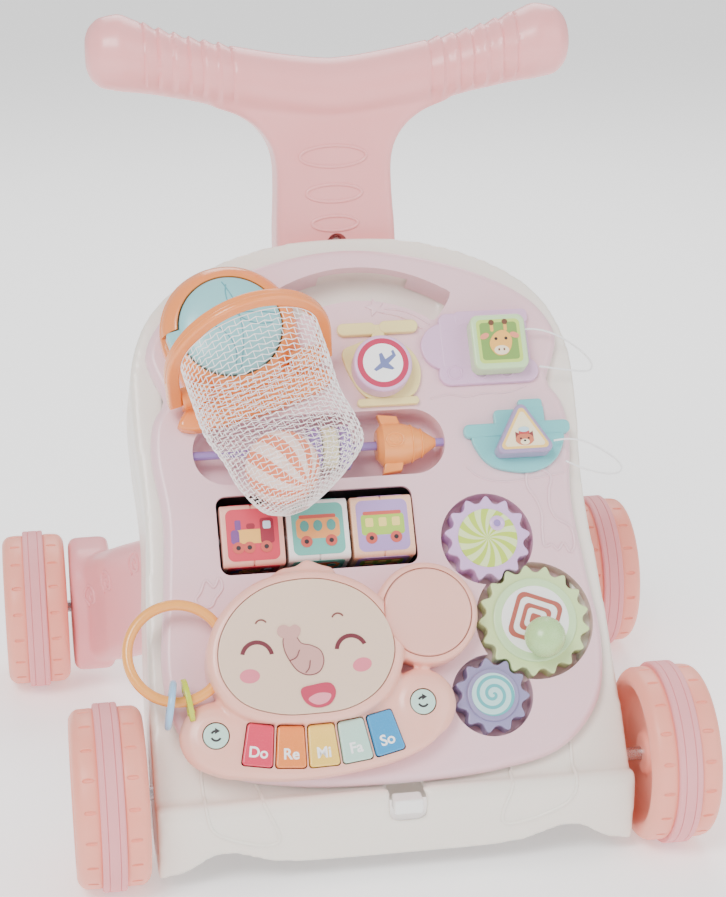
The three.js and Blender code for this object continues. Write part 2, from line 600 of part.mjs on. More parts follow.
// Point of the hoop's plane: a across, s away from the hinge line, lift square to the plane.
function onHoop(a, s, lift = 0) {
  const angle = radians(hoop.open);
  return new THREE.Vector3(a, hoop.pivotY + s * Math.cos(angle) - lift * Math.sin(angle),
    hoop.pivotZ + s * Math.sin(angle) + lift * Math.cos(angle));
}
function hoopRing() {
  const arc = Array.from({ length: 13 }, (unused, i) => {
    const angle = Math.PI - (Math.PI * i) / 12;
    return [hoop.radius * Math.cos(angle), hoop.arm + hoop.radius * Math.sin(angle)];
  });
  const line = [[-hoop.radius, -3], [-hoop.radius, 8], ...arc, [hoop.radius, 8], [hoop.radius, -3]];
  const path = new THREE.CatmullRomCurve3(line.map(([a, s]) => onHoop(a, s)));
  const section = new THREE.Shape([point(4, 2), point(2.4, 4), point(-2.4, 4), point(-4, 2),
    point(-4, -2), point(-2.4, -4),
    point(2.4, -4), point(4, -2)]);
  return upright(new THREE.ExtrudeGeometry(section, { steps: 22, bevelEnabled: false, extrudePath: path }));
}
const ringSolid = hoopRing();
addPiece(hoopGroup, 'hoop_ring', ringSolid, colours.orange);

// Rings of the hanging net: centre, half width, half height and lean of each.
const netWall = 1.4;
const netRings = [
  { x: 0, s: 33.5, a: 42.6, b: 29.4 }, { x: 0, y: -46, z: 43, a: 43, b: 30, lean: 78 },
  { x: 0, y: -66, z: 38, a: 42.5, b: 27.5, lean: 86 }, { x: 4, y: -84, z: 36, a: 41.5, b: 26.6, lean: 90 },
  { x: 4.5, y: -98.7, z: 35.5, a: 40, b: 26.1, lean: 90 },
  { x: 0, y: -110, z: 35, a: 31, b: 24.6, lean: 90 },
  { x: -5, y: -118.5, z: 33.5, a: 20, b: 15, lean: 90 },
  { x: -6.5, y: -123.5, z: 32, a: 8, b: 6, lean: 90 },
];
function netRing(item, inwards) {
  return Array.from({ length: 16 }, (unused, i) => {
    const angle = (2 * Math.PI * i) / 16;
    const [a, b] = [(item.a - inwards) * Math.cos(angle), (item.b - inwards) * Math.sin(angle)];
    if (item.s) return onHoop(item.x + a, item.s + b, hoop.tube + 0.6 - (inwards ? 3 : 0));
    const lean = radians(item.lean);
    return new THREE.Vector3(item.x + a, item.y + b * Math.cos(lean), item.z + b * Math.sin(lean));
  });
}
const netInner = netRings.map((item, i) => {
  const last = i === netRings.length - 1;
  return netRing(last ? { ...item, y: item.y + netWall } : item, netWall);
});
const net = loft(netRings.map((item) => netRing(item, 0))).subtract(loft(netInner));
addPiece(hoopGroup, 'net', net, colours.white);
const ball = { x: -6, y: -97.5, z: 35.5, radius: 22 };
const ballShape = new THREE.SphereGeometry(ball.radius, 12, 9);
ballShape.translate(ball.x, ball.y, ball.z);
addPiece(hoopGroup, 'ball', toSolid(ballShape), colours.orange);

// ---------- puzzle plates and blocks ----------
const platesOn = gap;
function helicopter() {
  const bladeLeft = roundedBox(2, 275.5, 24, 8, 3.8);
  const bladeRight = roundedBox(28, 276, 24, 8, 3.8);
  const mast = roundedBox(15, 270, 8, 16, 2);
  const body = smooth([[16, 228], [34, 233], [39, 248], [33, 262], [15, 270], [0, 266], [-8, 262],
    [-4, 244], [4, 232]], 20);
  const skid = roundedBox(17, 228.5, 38, 5, 2.2);
  return [bladeLeft, bladeRight, mast, body, skid];
}
function submarine() {
  const nose = smooth([[54, 247], [44, 252], [40.5, 263], [45, 272], [54, 276], [58, 262]], 20);
  const hull = roundedBox(66, 262, 26, 30, 3);
  const tower = roundedBox(60, 277, 14, 11, 5);
  const bar = roundedBox(86, 279, 46, 9, 3);
  const track = roundedBox(81, 244, 62, 15, 7);
  const back = roundedBox(90, 261, 36, 34, 3);
  return [nose, hull, tower, bar, track, back];
}
function boat() {
  const deckBar = roundedBox(94, 206.5, 66, 8.5, 3.5);
  const hull = [[66, 204], [122, 204], [120, 192], [112, 183], [100, 179], [88, 180], [76, 184], [69, 192]];
  const cabin = roundedBox(88, 212, 15, 14, 3);
  const funnel = roundedBox(104, 222, 15, 6, 2);
  return [deckBar, hull.map(([x, y]) => point(x, y)).reverse(), cabin, funnel,
    roundedBox(103, 213, 18, 16, 2)];
}
function plate(outlines) {
  return outlines.map((outline) => slab(outline, platesOn, platesOn + plates.rise))
    .reduce((all, next) => all.add(next));
}
const toys = platesOn + plates.rise + gap;
const toyHeight = 12;
addPiece(deck, 'helicopter_plate', plate(helicopter()), colours.yellow);
addPiece(deck, 'submarine_plate', plate(submarine()), colours.lilac);
addPiece(deck, 'boat_plate', plate(boat()), colours.boat);
addPiece(deck, 'round_block', slab(circle(14, 249, 18, 20), toys, toys + toyHeight, 2), colours.lilac);
addPiece(deck, 'square_block', slab(roundedBox(87, 259, 34, 35, 5), toys, toys + toyHeight, 2),
  colours.green);
const triangle = { x: 95, y: 199.5, reach: 23, round: 4 };
function triangleOutline() {
  return [90, 210, 330].flatMap((angle) => {
    const corner = point(triangle.reach - triangle.round * 2, 0).rotateAround(point(0, 0), radians(angle));
    return [-60, -20, 20, 60].map((turn) => corner.clone()
      .add(point(triangle.round, 0).rotateAround(point(0, 0), radians(angle + turn)))
      .add(point(triangle.x, triangle.y)));
  });
}
addPiece(deck, 'triangle_block', slab(triangleOutline(), toys, toys + toyHeight, 2), colours.plum);

// Thin cords that keep the blocks on the panel: points chosen along each free route.
const cord = { radius: 0.6 };
const squareRoute = [[104.6, 268, 9], [108, 268, 9], [113, 267.6, 8.6], [119, 266.4, 7.4],
  [125, 264.6, 5.6], [131, 262, 3.2],
  [137, 258.8, 0.4], [142.5, 255.4, -2.6], [146.5, 252, -5], [148.6, 249, -6.4], [148.4, 246, -6.4],
  [145.5, 243.6, -5],
  [140, 242.6, -2], [134, 242.6, 0.6], [128, 243, 2.2], [122, 243.6, 3.4], [117, 244.4, 4.2],
  [112.6, 245, 4.6]];
const triangleRoute = [[114.4, 196, 9], [118, 196.4, 9], [124, 196.6, 8.6], [130, 196.2, 7],
  [136, 195, 4.6], [142, 193, 1.6],
  [148, 190.4, -1.6], [153.6, 187.4, -4.6], [157.6, 184.2, -6.8], [159.2, 181, -7.8], [157.4, 178.4, -7.6],
  [152.6, 177, -5.8], [146, 176.8, -3], [139.4, 177.6, -0.2], [133, 179, 2.2], [127, 181.2, 3.8],
  [121.4, 184, 4.6]];
function tether(route) {
  const path = new THREE.CatmullRomCurve3(route.map(([x, y, z]) => new THREE.Vector3(x, y, z)));
  const section = new THREE.Shape(circle(0, 0, cord.radius, 8));
  return upright(new THREE.ExtrudeGeometry(section, { steps: 18, bevelEnabled: false, extrudePath: path }));
}
addPiece(deck, 'square_tether', tether(squareRoute), colours.white);
addPiece(deck, 'triangle_tether', tether(triangleRoute), colours.white);

// ---------- elephant keyboard ----------
const unit = { base: gap, split: 7.5, lower: 16, face: 25, ear: 17.5 };
const faceAt = { x: -49.5, y: 78 };
const faceOutline = (grow) => smooth([[0, -44.5], [26, -42], [46, -30], [57, -8], [54, 14], [40, 33],
  [18, 43.5], [-4, 45],
  [-26, 40], [-45, 26], [-56, 6], [-56, -16], [-44, -34], [-22, -43]].map(([x, y]) => [
  faceAt.x + x * (1 + grow / 50), faceAt.y + y * (1 + grow / 44)]), 30);
const hair = smooth([[-68, 118], [-60, 126], [-50, 127.5], [-44, 131], [-36, 127.5], [-28, 124],
  [-30, 112], [-60, 112]], 14);
const ear = { x: 24, y: 94.5, radius: 30.5, pad: 26 };
const keyFan = { x: -48.5, y: 209, radius: 187, step: 5.6, first: -9.9, width: 17.4, length: 24 };
const lowerOutline = smooth([[-58, 4.6], [-84, 6.6], [-106, 11], [-119, 20], [-121.5, 32], [-112, 44],
  [-100, 48], [-84, 46],
  [-50, 50], [-10, 52], [6, 60], [20, 58], [31, 46], [31, 33], [22, 21], [3, 12], [-28, 6.4]].reverse(),
  28);
const keyAngles = [0, 1, 2, 3, 4].map((i) => keyFan.first + i * keyFan.step);
function keyOutline(angle, grow) {
  const shape = [point(keyFan.width / 2, -12), point(keyFan.width / 2 - 1, 12),
    point(1 - keyFan.width / 2, 12),
    point(-keyFan.width / 2, -12)];
  const at = point(0, -keyFan.radius).rotateAround(point(0, 0), radians(angle));
  return turned(inset(shape, -grow), angle, keyFan.x + at.x, keyFan.y + at.y);
}
const buttons = { button_left: point(-104.5, 32), button_right: point(16, 42.4) };
const buttonRadius = 7.3;
const teether = { x: -123, y: 81, z: 16, radius: 28.2, tube: 3.1 };
const earTip = [point(46, 112), point(53, 106), point(59, 113), point(50, 117)];

function unitOutlines() {
  return [lowerOutline, faceOutline(0), circle(ear.x, ear.y, ear.radius, 20), hair];
}
function pianoFront() {
  const heights = [unit.lower, unit.face, unit.ear, unit.face - 3];
  let solid = null;
  let hollowInside = null;
  unitOutlines().forEach((outline, i) => {
    const part = slab(outline, unit.split, heights[i], 1.6);
    const inside = slab(inset(outline, 2), unit.split - 1, heights[i] - 2);
    solid = solid ? solid.add(part) : part;
    hollowInside = hollowInside ? hollowInside.add(inside) : inside;
  });
  solid = solid.add(slab(earTip, unit.split, unit.split + 6)).subtract(hollowInside);
  solid = solid.subtract(slab(faceOutline(-5.4), unit.face - 2.6, unit.face + 5));
  solid = solid.add(slab(faceOutline(-1.5), unit.face - 4.6, unit.face - 2.6));
  solid = solid.subtract(slab(circle(ear.x, ear.y, ear.pad + running, 20), unit.split - 1, 40)
    .subtract(slab(faceOutline(2), 0, 40)));
  keyAngles.forEach((angle) => { solid = solid.subtract(slab(keyOutline(angle, running), unit.split - 1,
    40)); });
  Object.values(buttons).forEach((at) => {
    solid = solid.subtract(slab(circle(at.x, at.y, buttonRadius + running, 16), unit.split - 1, 40));
  });
  return solid.subtract(torus(teether.radius, teether.tube + running, teether.x, teether.y, teether.z));
}
function pianoBack() {
  let solid = null;
  unitOutlines().slice(0, 3).forEach((outline) => {
    const part = slab(outline, unit.base, unit.split - gap);
    solid = solid ? solid.add(part) : part;
  });
  const room = unitOutlines().slice(0, 3).map((outline) => slab(inset(outline, 2.2), unit.base + 2.2, 20))
    .reduce((all, next) => all.add(next));
  return solid.subtract(room);
}
addPiece(deck, 'piano_front', pianoFront(), colours.peach);
addPiece(deck, 'piano_back', pianoBack(), colours.peach);
addPiece(deck, 'face_plate', slab(faceOutline(-5.4 - gap), unit.face - 2.3, unit.face + 0.2, 0.6),
  colours.face);
const padBottom = unit.split + 1;
const padSolid = slab(circle(ear.x, ear.y, ear.pad, 20), padBottom, unit.ear + 0.2, 0.8)
  .subtract(slab(faceOutline(2.6), 0, 40));
addPiece(deck, 'ear_pad', padSolid, colours.peach);
const keyNames = ['do', 're', 'mi', 'fa', 'so'];
const keyColours = [colours.red, colours.keyOrange, colours.keyYellow, colours.keyMint, colours.keyBlue];
keyAngles.forEach((angle, i) => {
  addPiece(deck, `key_${keyNames[i]}`, slab(keyOutline(angle, 0), unit.split + 1.5, unit.lower + 2, 1),
    keyColours[i]);
});
Object.entries(buttons).forEach(([name, at]) => {
  addPiece(deck, name, slab(circle(at.x, at.y, buttonRadius, 16), unit.split + 1.5, unit.lower + 1, 0.7),
    colours.mint);
});
addPiece(deck, 'circuit_board', slab(roundedBox(-50, 60, 70, 50, 2), 3, 4.6), colours.board, 0.6);
addPiece(deck, 'speaker', slab(circle(-50, 101, 14, 20), unit.base + 2.5, 12, 1), colours.grey, 0.6);
addPiece(deck, 'teether_ring', torus(teether.radius, teether.tube, teether.x, teether.y, teether.z),
  colours.orange);

// Charms hang round the teether ring, each in a plane square to it.
function charm(angle, build) {
  const pivot = new THREE.Group();
  pivot.position.set(teether.x, teether.y, teether.z);
  pivot.rotation.z = radians(angle);
  deck.add(pivot);
  build(pivot);
}
charm(-101, (pivot) => {
  const ring = new THREE.TorusGeometry(12.4, 2, 6, 16);
  ring.rotateX(Math.PI / 2);
  ring.translate(teether.radius + 1.9, 0, 0);
  addPiece(pivot, 'charm_ring', toSolid(ring), colours.sky);
});
charm(-81, (pivot) => {
  const leaf = smooth([[-13, 0], [-9, 5.5], [-2, 7.5], [5, 6.5], [12, 0], [5, -6.5], [-2, -7.5],
    [-9, -5.5]], 18);
  const hole = circle(0, 0, 4.2, 12);
  const shape = slab(leaf.map((p) => point(p.x + teether.radius, p.y)), -1.6, 1.6, 0.4, alongFlat());
  const cut = slab(hole.map((p) => point(p.x + teether.radius, p.y)), -3, 3, 0, alongFlat());
  addPiece(pivot, 'charm_leaf', shape.subtract(cut), colours.leaf);
});
function alongFlat() {
  return basis([1, 0, 0], [0, 0, 1], [0, -1, 0]);
}

export default walker;
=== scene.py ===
import math
import bmesh
import bpy
from mathutils import Matrix, Vector
from mathutils.bvhtree import BVHTree


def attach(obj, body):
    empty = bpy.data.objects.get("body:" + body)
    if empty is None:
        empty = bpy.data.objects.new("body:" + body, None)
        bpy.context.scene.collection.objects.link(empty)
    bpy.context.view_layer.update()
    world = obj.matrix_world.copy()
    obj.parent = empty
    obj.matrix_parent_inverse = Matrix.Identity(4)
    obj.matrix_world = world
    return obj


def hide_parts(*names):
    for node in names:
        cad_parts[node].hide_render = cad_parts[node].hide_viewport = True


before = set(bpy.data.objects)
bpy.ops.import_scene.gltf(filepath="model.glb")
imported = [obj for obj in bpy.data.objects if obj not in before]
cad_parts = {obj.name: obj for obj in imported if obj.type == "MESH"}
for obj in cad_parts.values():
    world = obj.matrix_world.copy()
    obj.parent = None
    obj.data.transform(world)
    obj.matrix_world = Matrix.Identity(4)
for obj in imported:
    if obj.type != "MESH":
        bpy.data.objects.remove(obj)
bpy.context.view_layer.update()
print("frame loaded")

# Sizes are in millimetres. The deck is the slanted activity panel: x across, y up it, z out of it.
deck = {"angle": 55, "foot": (0, -165.75, 60)}
hoopSpot = {"x": -76, "y": 277, "turn": 16}
metres = Matrix.Scale(0.001, 4)
deckPlace = metres @ Matrix.Translation(deck["foot"]) @ Matrix.Rotation(math.radians(deck["angle"]), 4, "X")
hoopPlace = (deckPlace @ Matrix.Translation((hoopSpot["x"], hoopSpot["y"], 0))
             @ Matrix.Rotation(math.radians(hoopSpot["turn"]), 4, "Z"))


# camera, light and floor
cameraSetting = {"place": (-0.2011, -1.26515, 0.6423), "yaw": -9.2, "pitch": 18.71, "roll": -0.4,
                 "lens": 86.68, "shift": (0.0062, -0.0019)}


def setCamera(setting):
    yaw, pitch, roll = (math.radians(setting[key]) for key in ("yaw", "pitch", "roll"))
    back = Vector((math.sin(yaw) * math.cos(pitch), -math.cos(yaw) * math.cos(pitch), math.sin(pitch)))
    level = Vector((math.cos(yaw), math.sin(yaw), 0))
    upright = back.cross(level)
    right = level * math.cos(roll) + upright * math.sin(roll)
    up = upright * math.cos(roll) - level * math.sin(roll)
    camera = bpy.data.objects.new("camera", bpy.data.cameras.new("camera"))
    bpy.context.scene.collection.objects.link(camera)
    turn = Matrix((right, up, back)).transposed().to_4x4()
    camera.matrix_world = Matrix.Translation(setting["place"]) @ turn
    camera.data.lens = setting["lens"]
    camera.data.shift_x, camera.data.shift_y = setting["shift"]
    bpy.context.scene.camera = camera


studio = {"keyPlace": (-0.9, -1.5, 1.9), "keyPower": 48, "keySize": 0.9,
          "fillPlace": (1.5, -1.2, 1.1), "fillPower": 16, "fillSize": 1.6,
          "rimPlace": (0.3, 1.5, 1.7), "rimPower": 26, "rimSize": 1.4,
          "sky": 0.8, "floor": (254, 254, 254), "floorGlow": 0.5}


def softLight(name, place, power, size):
    lamp = bpy.data.lights.new(name, "AREA")
    lamp.energy = power
    lamp.size = size
    item = bpy.data.objects.new(name, lamp)
    item.location = place
    item.rotation_euler = (Vector((0, 0, 0.2)) - Vector(place)).to_track_quat("-Z", "Y").to_euler()
    bpy.context.scene.collection.objects.link(item)


def setStudio(setting):
    softLight("keyLight", setting["keyPlace"], setting["keyPower"], setting["keySize"])
    softLight("fillLight", setting["fillPlace"], setting["fillPower"], setting["fillSize"])
    softLight("rimLight", setting["rimPlace"], setting["rimPower"], setting["rimSize"])
    world = bpy.data.worlds.new("paleSky")
    world.use_nodes = True
    sky = world.node_tree.nodes["Background"]
    sky.inputs["Color"].default_value = (1, 1, 1, 1)
    sky.inputs["Strength"].default_value = setting["sky"]
    bpy.context.scene.world = world
    sheet = bmesh.new()
    bmesh.ops.create_grid(sheet, x_segments=1, y_segments=1, size=6)
    mesh = bpy.data.meshes.new("floor")
    sheet.to_mesh(mesh)
    sheet.free()
    floor = bpy.data.objects.new("floor", mesh)
    bpy.context.scene.collection.objects.link(floor)
    paper = bpy.data.materials.new("paleFloor")
    paper.use_nodes = True
    paper.node_tree.nodes["Principled BSDF"].inputs["Base Color"].default_value = tone(*setting["floor"])
    paper.node_tree.nodes["Principled BSDF"].inputs["Roughness"].default_value = 0.9
    paper.node_tree.nodes["Principled BSDF"].inputs["Emission Color"].default_value = (1, 1, 1, 1)
    paper.node_tree.nodes["Principled BSDF"].inputs["Emission Strength"].default_value = setting["floorGlow"]
    mesh.materials.append(paper)


def tone(red, green, blue):
    linear = [c / 12.92 if c <= 0.04045 else ((c + 0.055) / 1.055) ** 2.4
              for c in (red / 255, green / 255, blue / 255)]
    return (*linear, 1.0)


setCamera(cameraSetting)
setStudio(studio)
print("camera and studio ready")


# materials
def makeGroup(name, inputs, outputs):
    group = bpy.data.node_groups.new(name, "ShaderNodeTree")
    kinds = {"colour": "NodeSocketColor", "number": "NodeSocketFloat", "vector": "NodeSocketVector"}
    for label, kind in inputs:
        group.interface.new_socket(label, in_out="INPUT", socket_type=kinds[kind])
    for label, kind in outputs:
        group.interface.new_socket(label, in_out="OUTPUT", socket_type=kinds[kind])
    return group, group.nodes.new("NodeGroupInput"), group.nodes.new("NodeGroupOutput")


def mathNode(tree, operation, first, second=None):
    node = tree.nodes.new("ShaderNodeMath")
    node.operation = operation
    for socket, value in zip(node.inputs, (first, second)):
        if value is None:
            continue
        if isinstance(value, (int, float)):
            socket.default_value = value
        else:
            tree.links.new(value, socket)
    return node.outputs["Value"]


def mouldedGroup(cloudScale=24, grainScale=1400, swing=0.12):
    # slow cloudiness in the colour, and a fine grain in the gloss and the surface
    group, start, end = makeGroup("mouldedSurface", [("Colour", "colour"), ("Mottle", "number"),
                                  ("Roughness", "number")],
                                  [("Colour", "colour"), ("Roughness", "number"), ("Height", "number")])
    place = group.nodes.new("ShaderNodeTexCoord")
    cloud = group.nodes.new("ShaderNodeTexNoise")
    cloud.inputs["Scale"].default_value = cloudScale
    cloud.inputs["Detail"].default_value = 3
    grain = group.nodes.new("ShaderNodeTexNoise")
    grain.inputs["Scale"].default_value = grainScale
    grain.inputs["Detail"].default_value = 2
    for noise in (cloud, grain):
        group.links.new(place.outputs["Object"], noise.inputs["Vector"])
    deeper = group.nodes.new("ShaderNodeHueSaturation")
    deeper.inputs["Saturation"].default_value = 1.25
    deeper.inputs["Value"].default_value = 0.94
    group.links.new(start.outputs["Colour"], deeper.inputs["Color"])
    blend = group.nodes.new("ShaderNodeMix")
    blend.data_type = "RGBA"
    amount = mathNode(group, "MULTIPLY", cloud.outputs["Fac"], start.outputs["Mottle"])
    group.links.new(amount, blend.inputs["Factor"])
    group.links.new(start.outputs["Colour"], blend.inputs["A"])
    group.links.new(deeper.outputs["Color"], blend.inputs["B"])
    group.links.new(blend.outputs["Result"], end.inputs["Colour"])
    uneven = mathNode(group, "MULTIPLY", mathNode(group, "SUBTRACT", grain.outputs["Fac"], 0.5), swing)
    group.links.new(mathNode(group, "ADD", uneven, start.outputs["Roughness"]), end.inputs["Roughness"])
    group.links.new(grain.outputs["Fac"], end.inputs["Height"])
    return group


def swirlGroup():
    # bands that curl round a centre: Arms of them, turned by Twist from the middle to the edge
    group, start, end = makeGroup("swirlBands", [("Vector", "vector"), ("Arms", "number"), ("Twist", "number"),
                                  ("Share", "number")], [("Mask", "number")])
    parts = group.nodes.new("ShaderNodeSeparateXYZ")
    group.links.new(start.outputs["Vector"], parts.inputs["Vector"])
    angle = mathNode(group, "ARCTAN2", parts.outputs["Y"], parts.outputs["X"])
    flat = group.nodes.new("ShaderNodeCombineXYZ")
    group.links.new(parts.outputs["X"], flat.inputs["X"])
    group.links.new(parts.outputs["Y"], flat.inputs["Y"])
    reach = group.nodes.new("ShaderNodeVectorMath")
    reach.operation = "LENGTH"
    group.links.new(flat.outputs["Vector"], reach.inputs[0])
    turned = mathNode(group, "ADD", mathNode(group, "MULTIPLY", angle, start.outputs["Arms"]),
                      mathNode(group, "MULTIPLY", reach.outputs["Value"], start.outputs["Twist"]))
    wave = mathNode(group, "SINE", turned)
    edge = mathNode(group, "MULTIPLY", mathNode(group, "SUBTRACT", wave, start.outputs["Share"]), 9)
    soft = mathNode(group, "MINIMUM", mathNode(group, "MAXIMUM", mathNode(group, "ADD", edge, 0.5), 0), 1)
    group.links.new(soft, end.inputs["Mask"])
    return group


surfaceGroup = mouldedGroup()
bandGroup = swirlGroup()
madeFinishes = {}


def finish(name, rgb, rough=0.34, coat=0.25, mottle=0.5, glow=0.0, bump=0.12, metal=0.0):
    if name in madeFinishes:
        return madeFinishes[name]
    material = bpy.data.materials.new(name)
    material.use_nodes = True
    tree = material.node_tree
    shader = tree.nodes["Principled BSDF"]
    surface = tree.nodes.new("ShaderNodeGroup")
    surface.name = "surface"
    surface.node_tree = surfaceGroup
    surface.inputs["Colour"].default_value = tone(*rgb)
    surface.inputs["Mottle"].default_value = mottle
    surface.inputs["Roughness"].default_value = rough
    tree.links.new(surface.outputs["Colour"], shader.inputs["Base Color"])
    tree.links.new(surface.outputs["Roughness"], shader.inputs["Roughness"])
    relief = tree.nodes.new("ShaderNodeBump")
    relief.inputs["Strength"].default_value = bump
    relief.inputs["Distance"].default_value = 0.0001
    tree.links.new(surface.outputs["Height"], relief.inputs["Height"])
    tree.links.new(relief.outputs["Normal"], shader.inputs["Normal"])
    shader.inputs["Coat Weight"].default_value = coat
    shader.inputs["Coat Roughness"].default_value = 0.18
    shader.inputs["Metallic"].default_value = metal
    if glow:
        shader.inputs["Subsurface Weight"].default_value = glow
        shader.inputs["Subsurface Radius"].default_value = (1.0, 0.35, 0.25)
        shader.inputs["Subsurface Scale"].default_value = 0.006
    madeFinishes[name] = material
    return material


def bandedFinish(name, rgb, otherRgb, place, radius, arms, twist, share=0.0, rough=0.4):
    # two colours that curl round the middle of place
    material = finish(name, rgb, rough=rough)
    tree = material.node_tree
    where = tree.nodes.new("ShaderNodeTexCoord")
    centring = tree.nodes.new("ShaderNodeMapping")
    centring.vector_type = "TEXTURE"
    centring.inputs["Location"].default_value = place.to_translation()
    centring.inputs["Rotation"].default_value = place.to_euler()
    centring.inputs["Scale"].default_value = (radius * 0.001,) * 3
    bands = tree.nodes.new("ShaderNodeGroup")
    bands.node_tree = bandGroup
    bands.inputs["Arms"].default_value = arms
    bands.inputs["Twist"].default_value = twist
    bands.inputs["Share"].default_value = share
    colours = tree.nodes.new("ShaderNodeMix")
    colours.data_type = "RGBA"
    colours.inputs["A"].default_value = tone(*rgb)
    colours.inputs["B"].default_value = tone(*otherRgb)
    tree.links.new(where.outputs["Object"], centring.inputs["Vector"])
    tree.links.new(centring.outputs["Vector"], bands.inputs["Vector"])
    tree.links.new(bands.outputs["Mask"], colours.inputs["Factor"])
    tree.links.new(colours.outputs["Result"], tree.nodes["surface"].inputs["Colour"])
    return material


cream = finish("creamShell", (243, 236, 226), rough=0.32, glow=0.05)
panelPink = finish("panelPink", (238, 200, 208), rough=0.36, glow=0.08)
handlePink = finish("handlePink", (246, 172, 172), rough=0.34, glow=0.1)
legPink = finish("legPink", (240, 160, 164), rough=0.36, glow=0.1)
salmon = finish("wheelSalmon", (250, 166, 148), rough=0.45, coat=0.08, glow=0.1)
bandPink = finish("bandPink", (236, 164, 168), rough=0.62, coat=0.0, glow=0.06)
orange = finish("hoopOrange", (245, 148, 84), rough=0.22, coat=0.5, glow=0.06)
rocketOrange = finish("rocketOrange", (248, 160, 92), rough=0.3, glow=0.06)
ringOrange = finish("ringOrange", (247, 170, 88), rough=0.25, coat=0.4, glow=0.08)
teal = finish("tealCap", (146, 203, 208), rough=0.3)
purple = finish("purpleSpool", (156, 132, 192), rough=0.32)
lilac = finish("lilacPlate", (222, 182, 216), rough=0.34)
gearLilac = finish("gearLilac", (214, 180, 226), rough=0.34)
gearGreen = finish("gearGreen", (204, 226, 164), rough=0.34)
knobGreen = finish("knobGreen", (178, 214, 150), rough=0.28)
gearBlue = finish("gearBlue", (146, 140, 178), rough=0.36)
paleGreen = finish("paleGreen", (200, 230, 178), rough=0.32)
plum = finish("plumBlock", (164, 148, 186), rough=0.34)
boatTeal = finish("boatTeal", (126, 200, 202), rough=0.32)
yellow = finish("plateYellow", (243, 226, 160), rough=0.34)
peach = finish("pianoPeach", (250, 190, 174), rough=0.32, glow=0.1)
earPeach = finish("earPeach", (243, 188, 174), rough=0.36, glow=0.08)
faceSand = finish("faceSand", (230, 202, 180), rough=0.3, coat=0.4)
mint = finish("buttonMint", (196, 228, 216), rough=0.26, coat=0.4)
whitePlastic = finish("whitePlastic", (248, 247, 245), rough=0.32)
# painted shade: this dark grey stands for the shadowed hollow seen through the block window
trayShadeGrey = finish("trayShadeDark", (62, 58, 64), rough=0.5)
steel = finish("axleSteel", (190, 192, 196), rough=0.28, coat=0.0, metal=1.0)
skyBlue = finish("charmBlue", (160, 200, 232), rough=0.25, coat=0.4, glow=0.1)
leafGreen = finish("charmLeaf", (192, 204, 56), rough=0.26, coat=0.4, glow=0.08)
blockWhite = finish("blockWhite", (250, 248, 246), rough=0.28)
blockPeach = finish("blockPeach", (250, 204, 174), rough=0.28)
rollerCream = finish("rollerCream", (238, 234, 186), rough=0.34)
netWhite = finish("netWhite", (250, 248, 248), rough=0.7, coat=0.0, mottle=0.1)
cordWhite = finish("cordWhite", (246, 246, 246), rough=0.5, coat=0.0, mottle=0.1)
# painted shade: a dark red-brown for the thin sheet under the gaps round the keys and buttons
gapRed = finish("gapRed", (196, 104, 92), rough=0.5)
print("materials ready")


# outlines, all in millimetres
def roundedRect(x, y, width, height, radius, steps=5):
    points = []
    for corner, (sx, sy) in enumerate(((1, 1), (-1, 1), (-1, -1), (1, -1))):
        for step in range(steps + 1):
            angle = math.pi / 2 * (corner + step / steps)
            points.append((x + sx * (width / 2 - radius) + radius * math.cos(angle),
                           y + sy * (height / 2 - radius) + radius * math.sin(angle)))
    return points


def oval(x, y, halfWidth, halfHeight, sides=36, turn=0):
    spots = [(halfWidth * math.cos(math.tau * i / sides), halfHeight * math.sin(math.tau * i / sides))
             for i in range(sides)]
    return [(x + a, y + b) for a, b in turnPoints(spots, turn)]


def disc(x, y, radius, sides=40):
    return oval(x, y, radius, radius, sides)


def turnPoints(points, degrees, x=0, y=0):
    c, s = math.cos(math.radians(degrees)), math.sin(math.radians(degrees))
    return [(x + a * c - b * s, y + a * s + b * c) for a, b in points]


def arcBand(x, y, inner, outer, start, end, steps=10):
    angles = [math.radians(start + (end - start) * i / steps) for i in range(steps + 1)]
    return ([(x + outer * math.cos(a), y + outer * math.sin(a)) for a in angles]
            + [(x + inner * math.cos(a), y + inner * math.sin(a)) for a in reversed(angles)])


def curveThrough(points, count, closed=True):
    # a centripetal Catmull-Rom curve through the points, at even distances
    spots = [Vector(p) for p in points]
    if not closed:
        spots = [spots[0] * 2 - spots[1], *spots, spots[-1] * 2 - spots[-2]]
    spans = len(spots) if closed else len(spots) - 3
    fine = []
    for i in range(spans):
        a, b, c, d = (spots[(i + k - (1 if closed else 0)) % len(spots)] for k in range(4))
        t1 = max((b - a).length, 1e-6) ** 0.5
        t2 = t1 + max((c - b).length, 1e-6) ** 0.5
        t3 = t2 + max((d - c).length, 1e-6) ** 0.5
        for step in range(16):
            t = t1 + (t2 - t1) * step / 16
            ab = a * ((t1 - t) / t1) + b * (t / t1)
            bc = b * ((t2 - t) / (t2 - t1)) + c * ((t - t1) / (t2 - t1))
            cd = c * ((t3 - t) / (t3 - t2)) + d * ((t - t2) / (t3 - t2))
            abc = ab * ((t2 - t) / t2) + bc * (t / t2)
            bcd = bc * ((t3 - t) / (t3 - t1)) + cd * ((t - t1) / (t3 - t1))
            fine.append(abc * ((t2 - t) / (t2 - t1)) + bcd * ((t - t1) / (t2 - t1)))
    fine.append(fine[0] if closed else spots[-2])
    lengths = [0.0]
    for p, q in zip(fine, fine[1:]):
        lengths.append(lengths[-1] + (q - p).length)
    result, k = [], 0
    for i in range(count if closed else count + 1):
        target = lengths[-1] * i / count
        while k < len(lengths) - 2 and lengths[k + 1] < target:
            k += 1
        share = (target - lengths[k]) / max(lengths[k + 1] - lengths[k], 1e-9)
        result.append(tuple(fine[k].lerp(fine[k + 1], min(share, 1))))
    return result


def mirrored(half, count):
    left = [(-x, y) for x, y in half if x > 0]
    return curveThrough([*half, *reversed(left)], count)


